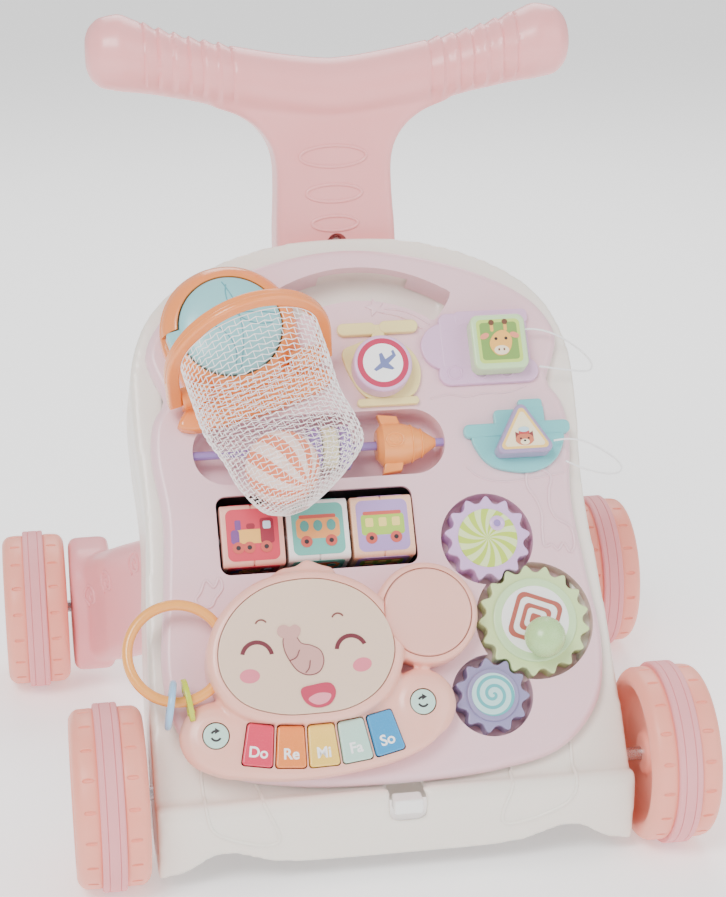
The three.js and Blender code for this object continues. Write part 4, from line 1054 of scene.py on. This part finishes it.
ball = {"x": -6, "y": -97.5, "z": 35.5, "radius": 21.8}


def makeBall():
    part = bmesh.new()
    bmesh.ops.create_uvsphere(part, u_segments=64, v_segments=40, radius=ball["radius"])
    return placed(part, Matrix.Translation((ball["x"], ball["y"], ball["z"])))


ballPlace = (hoopPlace @ Matrix.Translation((ball["x"], ball["y"], ball["z"]))
             @ Matrix.Rotation(math.radians(58), 4, "X") @ Matrix.Rotation(math.radians(24), 4, "Y"))
ballStripes = bandedFinish("ballStripes", (240, 140, 104), (250, 220, 208), ballPlace, ball["radius"], arms=9,
                           twist=2.6)
addPiece("toyBall", makeBall(), "ball", ballStripes, nodes=["ball"], place=hoopPlace,
         flatten=False)
print("hoop toy made")


# rocket, spool and their rod
rodPlace = deckPlace @ Matrix.Translation((0, slider["y"], slider["axis"])) @ alongX
rocket = {"tail": 8,
          "fins": [(2, -18.8), (14, -17.2), (17, -8), (17, 8), (14, 17.2), (2, 18.8), (5, 8), (5, -8)]}
spool = {"x": -21}


def makeRocket():
    body = turned([(3.2, 0), (8.6, 0), (9.6, 0.8), (12.8, 3.4), (13.1, 9), (12.8, 15.6), (11, 22), (8.1, 28),
                   (4.4, 33.6), (2.6, 36.4), (0, 37.5)], 64)
    body.transform(Matrix.Translation((0, 0, rocket["tail"])))
    body.transform(alongX)
    fins = slab([(x + rocket["tail"], y) for x, y in rocket["fins"]], -3, 3.5, radius=1.2, under=1.2)
    whole = joined(body, fins)
    whole.transform(Matrix.Translation((0, slider["y"], slider["axis"])))
    return whole


rocketPart = makeRocket()
rocketTree = BVHTree.FromBMesh(rocketPart)


def rocketTrim():
    parts = []
    for halfWidth, halfHeight, sides, thickness in ((5.4, 4.3, 32, 0.7), (3.2, 2.4, 28, 0.5)):
        ring = [(x, y, 60) for x, y in oval(rocket["tail"] + 10, slider["y"], halfWidth, halfHeight, sides)]
        parts.append(tube(ontoSurface(rocketTree, ring, (0, 0, -1), 0.1), thickness, closed=True))
    for along, radius in ((21.5, 11.2), (27.5, 8.5)):
        ring = [(rocket["tail"] + along, y, z) for y, z in disc(slider["y"], slider["axis"], radius)]
        parts.append(tube(ring, 0.6, closed=True))
    return joined(*parts)


addPiece("rocketTrim", rocketTrim(), "rocket", rocketOrange, flatten=False)
addPiece("rocketBody", rocketPart, "rocket", rocketOrange, nodes=["rocket"], sharp=40)
spoolProfile = [(3, -13), (12, -13), (13.5, -12.2), (14, -10.6), (13.5, -6.6), (12.4, -5.5), (8, -5.4)]
spoolProfile = spoolProfile + [(radius, -along) for radius, along in reversed(spoolProfile)] + [(3, -13)]
spoolPlace = rodPlace @ Matrix.Translation((0, 0, spool["x"]))
addPiece("purpleSpool", turned(spoolProfile, 72), "bead", purple, nodes=["bead_purple"],
         place=spoolPlace)
rollerProfile = [(8.4, -4.8), (11.8, -4.8), (12.9, -3.8), (13, 0), (12.9, 3.8), (11.8, 4.8), (8.4, 4.8),
                 (8.4, -4.8)]
addPiece("creamRoller", turned(rollerProfile, 72), "bead_roller", rollerCream,
         nodes=["bead_cream"], place=spoolPlace)
print("slider toys made")


# turning picture blocks
blocks = {"size": 37, "axle": -14, "pitch": 38.9, "sticker": 31, "list": [
    ("block_red", "train", 4, peach, "red_plastic"), ("block_white", "coach", 1, blockWhite, "white_plastic"),
    ("block_peach", "wagon", 2, blockPeach, "peach_plastic")]}


def wheelsOf(spots, y, radius, rim, hub):
    layers = []
    for x in spots:
        layers += [(disc(x, y, radius, 20), rim), (disc(x, y, radius * 0.4, 14), hub)]
    return layers


def pictureOf(kind):
    ground = roundedRect(0, 0, blocks["sticker"], blocks["sticker"], 4)
    if kind == "train":
        names = ["red", "amber", "violet", "darkRed", "glass", "brick", "black"]
        layers = [(ground, 0), (roundedRect(-2, -1, 16, 8.5, 2), 1), (roundedRect(-10.5, -1, 5, 8.5, 2), 2),
                  (roundedRect(-8.5, 6, 3.6, 6, 1), 2), (roundedRect(-1, 5, 5, 3.4, 1.4), 3),
                  (roundedRect(8.6, 2, 8, 15, 1.6), 3), (roundedRect(8.6, 5.4, 4.6, 4.6, 1), 4),
                  *wheelsOf((-9, -2.4, 7.6), -7.6, 3.5, 5, 6)]
    elif kind == "coach":
        names = ["tealInk", "coachOrange", "deepTeal", "brick", "black"]
        layers = [(ground, 0), (roundedRect(0, 0.6, 26, 12.6, 3), 1), (roundedRect(0, 7.6, 22, 2.2, 1), 3),
                  *[(oval(x, 2, 2.7, 3.4, 20), 2) for x in (-8, 0, 8)], *wheelsOf((-7.4, 7.4), -7.4, 3.5, 3, 4)]
    else:
        names = ["violetInk", "coachGreen", "butter", "brick", "black"]
        layers = [(ground, 0), (roundedRect(0, 0.6, 26, 12.6, 2), 1), (roundedRect(0, 7.6, 23, 2.2, 1), 3),
                  *[(roundedRect(x, 2, 4.8, 5.4, 1), 2) for x in (-8, 0, 8)],
                  *wheelsOf((-7.4, 7.4), -7.4, 3.5, 3, 4)]
    return layers, names


def makeBlock(number, kind, tilt, colour):
    half = blocks["size"] / 2
    halves = []
    for low, high in ((-half, -0.2), (0.2, half)):
        part = slab(roundedRect(0, 0, blocks["size"], blocks["size"], 4, 6), low, high, radius=0.9, under=0.9)
        part.transform(alongX)
        halves.append(part)
    core = slab(roundedRect(0, 0, blocks["size"] - 1.4, blocks["size"] - 1.4, 4), -1, 1, radius=0)
    core.transform(alongX)
    layers, names = pictureOf(kind)
    faces = []
    for turn in range(4):
        face = flatPicture([(points, ink + 1) for points, ink in layers])
        face.transform(Matrix.Rotation(math.pi / 2 * turn, 4, "X") @ Matrix.Translation((0, 0, half)))
        faces.append(face)
    whole = joined(*halves, core, *faces)
    middle = (window["x"] + blocks["pitch"] * (number - 1), window["y"], blocks["axle"])
    whole.transform(Matrix.Translation(middle) @ Matrix.Rotation(math.radians(tilt), 4, "X"))
    return whole, [colour, *inks(*names)]


for number, (blockName, kind, tilt, colour, slotName) in enumerate(blocks["list"]):
    blockPart, blockMaterials = makeBlock(number, kind, tilt, colour)
    addPiece(kind + "Block", blockPart, blockName, blockMaterials, nodes=[blockName], sharp=40)
print("blocks made")


# gears
def gearOutline(gear, phase, count):
    points = []
    for i in range(count):
        angle = math.tau * i / count
        rise = ((1 + math.cos(gear["teeth"] * (angle - phase))) / 2) ** gearRule["sharpness"]
        radius = gear["pitch"] - gearRule["clearance"] - gearRule["rise"] * (1 - 2 * rise)
        points.append((radius * math.cos(angle), radius * math.sin(angle)))
    return points


greenPhase = math.radians(gearSizes["lilac"]["towards"])
meshing = (math.radians(gearSizes["blue"]["towards"]) - greenPhase) * gearSizes["green"]["teeth"] / math.tau
gearPhases = {"green": greenPhase, "lilac": greenPhase + math.pi + math.pi / gearSizes["lilac"]["teeth"],
              "blue": math.radians(gearSizes["blue"]["towards"]) + math.pi
              + (0.5 + meshing % 1) * math.tau / gearSizes["blue"]["teeth"]}
squareInk = (176, 96, 84)


def gearPlace(name):
    return deckPlace @ Matrix.Translation((gearSizes[name]["x"], gearSizes[name]["y"], 0))


def makeGear(name, top):
    gear = gearSizes[name]
    return slab(gearOutline(gear, gearPhases[name], gear["teeth"] * 12), -12.6, top, radius=0.9, under=0.6)


def squareRing(half, width, turn, x, y, level):
    outer = turnPoints(roundedRect(0, 0, 2 * half, 2 * half, half * 0.35), turn, x, y)
    part = slab(outer, 1.6, level, radius=0.3, index=1)
    inner = slab(turnPoints(roundedRect(0, 0, 2 * (half - width), 2 * (half - width), half * 0.3), turn, x, y),
                 0, 6, radius=0)
    return combined(part, inner, "DIFFERENCE")


def greenGear():
    parts = [makeGear("green", 0.4), slab(disc(0, 0, 25.4, 72), 0, 2.3, radius=1.2, index=2)]
    parts.append(slab(disc(0, 0, 20.4, 64), 1, 2.7, radius=0.4, index=3))
    for half, width in ((14.2, 2.6), (8.4, 2.4)):
        parts.append(squareRing(half, width, -22, 0, 0, 3.1))
    parts.append(slab(turnPoints(roundedRect(0, 0, 6.4, 6.4, 1.4), -22), 1.6, 3.1, radius=0.3, index=1))
    knob = turned([(0, 1), (6.6, 1), (6.6, 3.4), (5.6, 4.4), (5, 6), (5.6, 7.2), (8.6, 8.6), (11, 11),
                   (12, 14.4), (11.8, 18), (10, 21.6), (6.6, 24.2), (0, 25.4)], 56, index=4)
    knob.transform(Matrix.Translation((1.4, -13.4, 0)))
    return joined(*parts, knob)


def lilacGear():
    parts = [makeGear("lilac", 2), slab(disc(0, 0, 18, 64), 1, 2.5, radius=0.3, index=1)]
    dimple = turned([(2.2, 2.9), (3.4, 3.4), (4.6, 2.9), (4.8, 1), (2.2, 1), (2.2, 2.9)], 32)
    pit = slab(disc(0, 0, 2.6, 24), 1.2, 2.6, radius=0, index=2)
    for part in (dimple, pit):
        part.transform(Matrix.Translation((6.6, 8.6, 0)))
    return joined(*parts, dimple, pit)


def blueGear():
    return joined(makeGear("blue", 0.2), slab(disc(0, 0, 15.6, 56), 0, 2.2, radius=1.2),
                  slab(disc(0, 0, 12.8, 56), 1, 2.6, radius=0.3, index=1))


limeSwirl = bandedFinish("limeSwirl", (190, 216, 90), (222, 238, 176), gearPlace("lilac"), 18, arms=12, twist=5)
tealSpiral = bandedFinish("tealSpiral", (186, 224, 222), (96, 176, 180), gearPlace("blue"), 12.8, arms=1,
                          twist=15.7, share=0.35)
gearRed = finish("gearRed", squareInk, rough=0.4)
addPiece("greenGear", greenGear(), "gear_green", [gearGreen, gearRed, paleGreen, whitePlastic, knobGreen],
         nodes=["gear_green"], place=gearPlace("green"), sharp=40)
addPiece("lilacGear", lilacGear(), "gear_lilac", [gearLilac, limeSwirl, purple],
         nodes=["gear_lilac"], place=gearPlace("lilac"), sharp=40)
addPiece("blueGear", blueGear(), "gear_blue", [gearBlue, tealSpiral],
         nodes=["gear_blue"], place=gearPlace("blue"), sharp=40)
print("gears made")


# puzzle plates and lift-off blocks
plates = {"low": 0.3, "high": 3.5, "toyLow": 3.8, "toyHigh": 15.8}


def plateSlabs(outlines):
    return joined(*[slab(points, plates["low"], plates["high"] + 0.15 * level, radius=0.9)
                    for level, points in enumerate(outlines)])


def makeHelicopter():
    body = curveThrough([(16, 228), (34, 233), (39, 248), (33, 262), (15, 270), (0, 266), (-8, 262), (-4, 244),
                         (4, 232)], 48)
    return plateSlabs([body, roundedRect(15, 270, 8, 16, 2), roundedRect(17, 228.5, 38, 5, 2.2),
                       roundedRect(2, 275.5, 24, 8, 3.8), roundedRect(28, 276, 24, 8, 3.8)])


def makeSubmarine():
    nose = curveThrough([(54, 247), (44, 252), (40.5, 263), (45, 272), (54, 276), (58, 262)], 40)
    whole = plateSlabs([roundedRect(90, 261, 36, 34, 3), roundedRect(81, 244, 62, 15, 7), nose,
                        roundedRect(66, 262, 26, 30, 3), roundedRect(60, 277, 14, 11, 5),
                        roundedRect(86, 279, 46, 9, 3)])
    rings = [tube([(x, y, 3.6) for x, y in disc(middle, 244, 4.2, 24)], 0.7, closed=True)
             for middle in (60, 76, 92)]
    return joined(whole, *rings)


def makeBoat():
    hull = curveThrough([(66, 204), (122, 204), (120, 192), (112, 183), (100, 179), (88, 180), (76, 184),
                         (69, 192)], 56)
    return plateSlabs([hull, roundedRect(103, 213, 18, 16, 2), roundedRect(104, 222, 15, 6, 2),
                       roundedRect(88, 212, 15, 14, 3), roundedRect(94, 206.5, 66, 8.5, 3.5)])


addPiece("helicopterPlate", makeHelicopter(), "frame", yellow, nodes=["helicopter_plate"])
addPiece("submarinePlate", makeSubmarine(), "frame", lilac, nodes=["submarine_plate"])
addPiece("boatPlate", makeBoat(), "frame", boatTeal, nodes=["boat_plate"])


def toyBlock(outline, layers, x, y, turn=0):
    body = slab(outline, plates["toyLow"], plates["toyHigh"], radius=1.8, segments=4, under=0.6)
    picture = flatPicture([(points, ink + 1) for points, ink in layers])
    spot = Matrix.Translation((x, y, plates["toyHigh"]))
    picture.transform(spot @ Matrix.Rotation(math.radians(turn), 4, "Z"))
    return joined(body, picture)


def triangleOutline(x, y, reach, corner):
    corners = [Vector((x + (reach - 2 * corner) * math.cos(a), y + (reach - 2 * corner) * math.sin(a)))
               for a in (math.radians(d) for d in (90, 210, 330))]
    points = []
    for i, spot in enumerate(corners):
        for step in range(9):
            angle = math.radians(30 + 120 * i + 15 * step)
            points.append((spot.x + corner * math.cos(angle), spot.y + corner * math.sin(angle)))
    return points


plane = [(-9, -1.4), (-2, 0.6), (0.5, 7.4), (3, 7.4), (3, 1.6), (9.5, 2.6), (10, 5.4), (12, 5.4), (11.6, 0.4),
         (3.6, -2.4), (5.6, -8), (3.4, -8), (-2, -3.4), (-8, -3.6)]
planeOutline = turnPoints([(x * 0.8, y * 0.8) for x, y in plane], 24)
giraffeHead = [(-6.4, -2), (-3, 4.6), (2.6, 6.8), (7, 3.6), (7.4, -2.2), (3.6, -8.6), (-2.6, -8.8)]
addPiece("roundToy", toyBlock(disc(14, 249, 18, 64), [(disc(0, 0, 15.6, 48), 0), (disc(0, 0, 12.2, 48), 1),
                                                        (planeOutline, 2)],
                              14, 249), "round_block",
         [lilac, *inks("crimson", "white", "plane")], nodes=["round_block"])
addPiece("squareToy", toyBlock(roundedRect(87, 259, 34, 35, 5, 7), [
    (roundedRect(0, 0, 27, 28, 3), 0), (roundedRect(0, 0, 23, 24, 2), 1),
    (roundedRect(-4, 9.6, 2, 7, 1), 2), (roundedRect(4.4, 9.8, 2, 7, 1), 2), (disc(-4, 12, 1.8, 14), 3),
    (disc(4.4, 12.2, 1.8, 14), 3), (oval(-9, 3.4, 3, 1.8, 16, 24), 4), (oval(9.6, 3.4, 3, 1.8, 16, -24), 4),
    (curveThrough(giraffeHead, 36), 2), (oval(0.6, -6, 4.6, 3, 24), 5), (disc(-2.2, 1.4, 1, 12), 6),
    (disc(4, 1.4, 1, 12), 6), (oval(-1, -5.6, 0.6, 0.8, 10), 3), (oval(2.2, -5.6, 0.6, 0.8, 10), 3)], 87, 259),
         "square_block",
         [paleGreen, *inks("lime", "fieldGreen", "giraffe", "horn", "earPink", "cream", "black")],
         nodes=["square_block"])
addPiece("triangleToy", toyBlock(triangleOutline(95, 199.5, 23, 4), [
    (triangleOutline(0, 0, 18.6, 2.4), 0), (triangleOutline(0, 0, 15.4, 1.6), 1),
    ([(-5.6, -5), (-5.4, 1.4), (-1.8, -0.6)], 3), ([(5.6, -5), (5.4, 1.4), (1.8, -0.6)], 3),
    (oval(0, -3.6, 5.6, 3.8, 28), 2), (oval(0, -5.2, 2.8, 1.9, 20), 1), (disc(-2.4, -3, 0.6, 10), 4),
    (disc(2.4, -3, 0.6, 10), 4), (oval(0, -4.4, 0.8, 0.6, 10), 4), (roundedRect(0, 0.8, 6.6, 2, 0.9), 5),
    (oval(0, 2.6, 3.4, 1.7, 20), 6)], 95, 199.5), "triangle_block",
         [plum, *inks("signYellow", "signCream", "fox", "foxDark", "black", "redLine", "sky")],
         nodes=["triangle_block"])
print("puzzle blocks made")


# elephant keyboard
piano = {"low": 0.3, "deckTop": 16, "faceTop": 25, "face": (-49.5, 78), "ear": (24, 94.5), "earRadius": 30.5,
         "outline": [(-58, 4.6), (-84, 6.6), (-106, 11), (-119, 20), (-121.5, 32), (-112, 44), (-100, 48),
                     (-84, 46), (-50, 50), (-10, 52), (6, 60), (20, 58), (31, 46), (31, 33), (22, 21),
                     (3, 12), (-28, 6.4)],
         "faceLine": [(0, -44.5), (26, -42), (46, -30), (57, -8), (54, 14), (40, 33), (18, 43.5), (-4, 45),
                      (-26, 40), (-45, 26), (-56, 6), (-56, -16), (-44, -34), (-22, -43)],
         "hair": [(-68, 118), (-60, 126), (-50, 127.5), (-44, 131), (-36, 127.5), (-28, 124), (-30, 112),
                  (-60, 112)],
         "fan": {"x": -48.5, "y": 209, "radius": 187, "first": -9.9, "step": 5.6, "width": 17.4, "half": 12},
         "buttons": {"Left": (-104.5, 32), "Right": (16, 42.4)}, "buttonRadius": 7.3, "buttonTop": 17,
         "bedLow": 8.9, "bedTop": 9.2, "keyLow": 10.4, "keyTop": 18, "plateLow": 22.9, "plateTop": 25.3,
         "cushionRadius": 26, "cushionLow": 16.6, "cushionTop": 19, "pocketRadius": 26.6, "pocketLow": 15.4,
         "recessLow": 22.6, "wellLow": 9, "earTop": 17.5, "hairTop": 19}


def faceOutline(grow, count=96):
    x, y = piano["face"]
    points = [(x + a * (1 + grow / 50), y + b * (1 + grow / 44)) for a, b in piano["faceLine"]]
    return curveThrough(points, count)


def keyOutline(number, grow=0.0):
    fan = piano["fan"]
    angle = fan["first"] + fan["step"] * number
    half, long = fan["width"] / 2 + grow, fan["half"] + grow
    points = []
    corners = ((half - 1.1, long), (-half + 1.1, long), (-half, -long), (half, -long))
    for corner, (x, y) in enumerate(corners):
        sx, sy = math.copysign(1, x), math.copysign(1, y)
        for step in range(5):
            turn = math.pi / 2 * (corner + step / 4)
            points.append((x - sx * 2 + 2 * math.cos(turn), y - sy * 2 + 2 * math.sin(turn)))
    reach = math.radians(angle)
    return turnPoints(points, angle, fan["x"] + fan["radius"] * math.sin(reach),
                      fan["y"] - fan["radius"] * math.cos(reach))


def makePiano():
    lower = curveThrough(piano["outline"], 96)
    parts = [slab(lower, piano["low"], piano["deckTop"], radius=4, segments=4),
             slab(faceOutline(0), piano["low"], piano["faceTop"], radius=5, segments=5),
             slab(disc(*piano["ear"], piano["earRadius"], 72), piano["low"], piano["earTop"], radius=3.5,
                  segments=4),
             slab(curveThrough(piano["hair"], 40), piano["low"], piano["hairTop"], radius=4, segments=4)]
    for x, y in piano["buttons"].values():
        mound = turned([(0, 8), (21, 8), (20, 12), (16, 15.4), (11, 17), (0, 17.2)], 48)
        mound.transform(Matrix.Translation((x, y, 0)))
        parts.append(mound)
    body = softened(joined(*parts), 1.3, 5)
    wells = [(faceOutline(-5.2), piano["recessLow"]),
             (disc(*piano["ear"], piano["pocketRadius"], 64), piano["pocketLow"])]
    wells += [(keyOutline(number, 0.55), piano["wellLow"]) for number in range(5)]
    wells += [(disc(x, y, piano["buttonRadius"] + 0.6), piano["wellLow"]) for x, y in piano["buttons"].values()]
    for outline, low in wells:
        body = combined(body, slab(outline, low, 40, radius=0), "DIFFERENCE")
    return body


addPiece("pianoBody", makePiano(), "keyboard_unit", peach,
         nodes=["piano_front", "piano_back", "circuit_board", "speaker"], flatten=False, sharp=44)
# a thin dark sheet under the gaps round each key and button: painted shade standing for the shadow in those
# gaps
gapOutlines = [keyOutline(number, 0.5) for number in range(5)]
gapOutlines += [disc(x, y, piano["buttonRadius"] + 0.5) for x, y in piano["buttons"].values()]
gapShadeParts = [slab(outline, piano["bedLow"], piano["bedTop"], radius=0) for outline in gapOutlines]
addPiece("keyGapShadeSheet", joined(*gapShadeParts), "keyboard_unit", gapRed)
addPiece("earCushion", slab(disc(*piano["ear"], piano["cushionRadius"], 72), piano["cushionLow"],
                               piano["cushionTop"], radius=1.8, segments=5), "ear_pad", earPeach,
         nodes=["ear_pad"])


def facePicture():
    eyes = [arcBand(-78.2, 73.6, 7.4, 9.8, 8, 166, 18), arcBand(-23.8, 73.8, 7.3, 9.7, 22, 172, 18)]
    brows = [arcBand(-74.4, 91.6, 3, 3.9, 30, 158, 10), arcBand(-29.9, 92.3, 3.1, 4.0, 30, 158, 10)]
    trunk = curveThrough([(-62.3, 83.8), (-62.8, 77.8), (-60.4, 70.8), (-55.5, 63.6), (-49.5, 61),
                          (-43.2, 62.6), (-40.1, 68.6), (-41.4, 75), (-46.7, 78.5), (-52.1, 80.1),
                          (-54.6, 83.7), (-58, 84.6)], 60)
    tip = curveThrough([(-64.9, 86.4), (-64.3, 89.6), (-61.2, 90.6), (-58.3, 89.2), (-55, 90.4), (-52.6, 88.2),
                        (-54.6, 83.8), (-59.9, 83)], 40)
    mouth = curveThrough([(-54.4, 53), (-47.7, 54.9), (-37.8, 55.2), (-35.6, 50.6), (-39, 44.4), (-46.9, 42.8),
                          (-52.7, 46.2)], 44)
    tongue = curveThrough([(-51.2, 47.2), (-45.6, 50.4), (-38, 49.2), (-40.3, 45.2), (-46.6, 43.9)], 32)
    layers = [(oval(-83.3, 63, 5.8, 4.1, 32), 3), (oval(-18.4, 65, 5.6, 4, 32, 12), 3), (eyes[0], 0),
              (eyes[1], 0),
              (brows[0], 1), (brows[1], 1), (trunk, 6), (inset(trunk, 0.55), 2), (tip, 6),
              (inset(tip, 0.55), 2), (mouth, 0), (inset(mouth, 0.5), 4), (tongue, 5)]
    picture = flatPicture(layers)
    creases = [[(-53.7, 76), (-56, 71.8), (-59.8, 70.2)], [(-48.1, 69.6), (-49.2, 65), (-51.4, 62.6)]]
    lines = [tube([(x, y, 0.62) for x, y in curveThrough(crease, 12, closed=False)], 0.28, index=6)
             for crease in creases]
    whole = joined(picture, *lines)
    whole.transform(Matrix.Translation((0, 0, piano["plateTop"])))
    return whole


addPiece("faceDisc", slab(faceOutline(-5.7), piano["plateLow"], piano["plateTop"], radius=0.5), "keyboard_unit",
         faceSand, nodes=["face_plate"])
addPiece("facePrint", facePicture(), "keyboard_unit",
         inks("maroon", "brow", "trunk", "cheek", "mouth", "tongue", "outline"))


def lettering(words, size, weight=0.05):
    font = bpy.data.curves.new("words", "FONT")
    font.body = words
    font.size = size
    font.align_x = "CENTER"
    font.align_y = "CENTER"
    font.offset = weight * size * 0.4
    font.extrude = 0.12
    return inked(takeCurve(font), 1)


keys = [("do", "Do", (222, 62, 92), "red_plastic"), ("re", "Re", (243, 140, 70), "key_orange"),
        ("mi", "Mi", (248, 208, 108), "key_yellow"), ("fa", "Fa", (186, 222, 208), "key_mint"),
        ("so", "So", (52, 150, 206), "key_blue")]
for number, (note, label, rgb, slotName) in enumerate(keys):
    outline = keyOutline(number)
    keyPart = slab(outline, piano["keyLow"], piano["keyTop"], radius=1.1, segments=4)
    words = lettering(label, 8.6, 0.06)
    fan = piano["fan"]
    angle = math.radians(fan["first"] + fan["step"] * number)
    near = fan["radius"] + 4.6
    wordsAt = (fan["x"] + near * math.sin(angle), fan["y"] - near * math.cos(angle), piano["keyTop"] + 0.06)
    words.transform(Matrix.Translation(wordsAt) @ Matrix.Rotation(angle, 4, "Z"))
    addPiece(note + "Key", joined(keyPart, words), "key_" + note,
             [finish(note + "KeyColour", rgb, rough=0.26, coat=0.45, glow=0.04), *inks("white")],
             nodes=["key_" + note])
for sideName, (x, y) in piano["buttons"].items():
    icons = [arcBand(x, y, 2.2, 3.4, 200, 330, 10), [(x - 0.6, y + 1), (x + 2.6, y + 2.6), (x - 0.2, y + 4.6)],
             arcBand(x, y, 2.2, 3.4, 60, 150, 8)]
    icon = flatPicture([(points, 1) for points in icons])
    icon.transform(Matrix.Translation((0, 0, piano["buttonTop"])))
    cap = slab(disc(x, y, piano["buttonRadius"], 48), piano["keyLow"], piano["buttonTop"], radius=0.7)
    addPiece("button" + sideName, joined(cap, icon), "button_" + sideName.lower(), [mint, *inks("black")],
             nodes=["button_" + sideName.lower()])
print("keyboard made")


# teether ring and its charms
teether = {"x": -123, "y": 81, "z": 16, "radius": 28.2, "tube": 3.1}


def ringAround(radius, thickness, steps=96, sides=10):
    return tube([(x, y, 0) for x, y in disc(0, 0, radius, steps)], thickness, closed=True, sides=sides)


addPiece("teetherRing", placed(ringAround(teether["radius"], teether["tube"]),
                                Matrix.Translation((teether["x"], teether["y"], teether["z"]))), "teether_ring",
         ringOrange, nodes=["teether_ring"], flatten=False)


charmPlace = deckPlace @ Matrix.Translation((teether["x"], teether["y"], teether["z"]))
ringTurn = Matrix.Rotation(math.radians(-101), 4, "Z") @ Matrix.Translation((teether["radius"] + 1.9, 0, 0))
addPiece("blueCharm", placed(ringAround(12.4, 2, 64), ringTurn @ Matrix.Rotation(math.pi / 2, 4, "X")),
         "charm_ring", skyBlue, nodes=["charm_ring"], place=charmPlace, flatten=False)


def makeLeaf():
    outline = curveThrough([(-13, 0), (-9, 5.5), (-2, 7.5), (5, 6.5), (12, 0), (5, -6.5), (-2, -7.5),
                            (-9, -5.5)], 48)
    eye = slab(disc(0, 0, 4.2, 32), -5, 5, radius=0)
    body = combined(slab(outline, -1.6, 1.6, radius=0.7, under=0.7), eye, "DIFFERENCE")
    veins = [tube([(x, 0, z), (x + 3, side * 4.6, z)], 0.35) for z in (-1.6, 1.6) for side in (-1, 1)
             for x in (-9, 4.6)]
    return joined(body, *veins)


leafTurn = Matrix.Rotation(math.radians(-81), 4, "Z") @ Matrix.Translation((teether["radius"], 0, 0)) @ alongY
addPiece("leafCharm", placed(makeLeaf(), leafTurn), "charm_leaf", leafGreen, nodes=["charm_leaf"],
         place=charmPlace, sharp=40)
print("teether made")


# latch, screw, and the lines raised on shell and panel
latch = {"x": 4.5, "z": 47, "width": 17.2, "height": 9, "inner": 164, "outer": 174}
latchOutline = roundedRect(latch["x"], latch["z"], latch["width"], latch["height"], 1.6)
latchPart = slab(latchOutline, latch["inner"], latch["outer"], radius=1.4, segments=4)
latchPart.transform(alongY)
addPiece("latchButton", latchPart, "latch", whitePlastic, nodes=["latch_button"], place=metres)


def shellLines():
    fins = [[(-110, 75.5), (-110.9, 47), (-106, 38.5), (-76.3, 28.4), (-70.8, 31), (-77, 50.3), (-91.4, 71.3)],
            [(103, 78), (104, 49), (98, 40), (66, 29), (60.4, 32), (66, 52), (81, 73)]]
    parts = []
    for fin in fins:
        ring = [(x, -171, z) for x, z in curveThrough(fin, 90)]
        parts.append(tube(ontoSurface(shellTree, ring, (0, 1, 0), 0.1), 1.15))
    return joined(*parts)


addPiece("shellLines", shellLines(), "frame", cream, place=metres, flatten=False)


def panelLines():
    giraffe = [(97, 178), (100, 183), (107, 181), (112, 176), (110, 168), (109, 158), (112, 150), (120, 144),
               (121, 132), (118, 128), (114.6, 134.4), (110.5, 130.1), (107.5, 133.9), (103.1, 132.7),
               (102.5, 142), (103.5, 152), (101.4, 161.7), (97, 170)]
    animal = [(-101.8, 126), (-105.5, 119), (-108.6, 114.3), (-104.8, 110), (-99.4, 110.5), (-97.2, 114.5),
              (-92.5, 121), (-94, 127), (-97.4, 121.6)]
    star = []
    for i in range(10):
        angle = math.radians(102 + 36 * i)
        reach = 6.4 if i % 2 == 0 else 2.9
        star.append((15.4 + reach * math.cos(angle), 290 + reach * math.sin(angle)))
    trails = [[(21, 289), (31, 287.4), (40, 283.4), (48, 277.6)],
              [(20.5, 286.4), (29, 284), (36.6, 280), (43, 275)],
              [(43.7, 229.5), (55, 231.4), (66, 229.5), (76.2, 231), (90.7, 230.8), (104, 234.6)],
              [(61, 185.3), (66, 180), (73, 176.4), (84, 174.6), (99, 175.4), (110, 176.6), (121, 178.1)]]
    parts = [tube([(x, y, 0.1) for x, y in curveThrough(shape, 80)], 0.95, closed=True)
             for shape in (giraffe, animal)]
    parts.append(slab(star, -0.5, 1, radius=0.6))
    parts += [tube([(x, y, 0.05) for x, y in curveThrough(trail, 36, closed=False)], 0.6) for trail in trails]
    return joined(*parts)


addPiece("panelLines", panelLines(), "frame", panelPink, flatten=False)


def makeScrew():
    head = turned([(0, 1.4), (2.6, 1.2), (3.8, 0), (3.8, -2), (0, -2)], 32)
    cross = slab(roundedRect(0, 0, 4.6, 1, 0.3), 0.4, 3, radius=0)
    other = slab(roundedRect(0, 0, 1, 4.6, 0.3), 0.4, 3, radius=0)
    head = combined(combined(head, cross, "DIFFERENCE"), other, "DIFFERENCE")
    head.transform(Matrix.Translation(Vector(wellAt) + Vector((0, screw["depth"] - 2, 0))) @ alongY)
    return head


addPiece("handleScrew", makeScrew(), "frame", steel, place=metres)
print("details made")


# small hidden parts keep their shape and get a finish
# the block tray's dark grey is painted shade for the shadowed hollow behind the window
keptParts = {"front_axle": steel, "rear_axle_left": steel, "rear_axle_right": steel, "block_rod": steel,
             "slider_rod": purple, "block_tray": trayShadeGrey}
for partName, material in keptParts.items():
    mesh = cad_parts[partName].data
    mesh.materials.clear()
    mesh.materials.append(material)
print("hidden parts coloured")
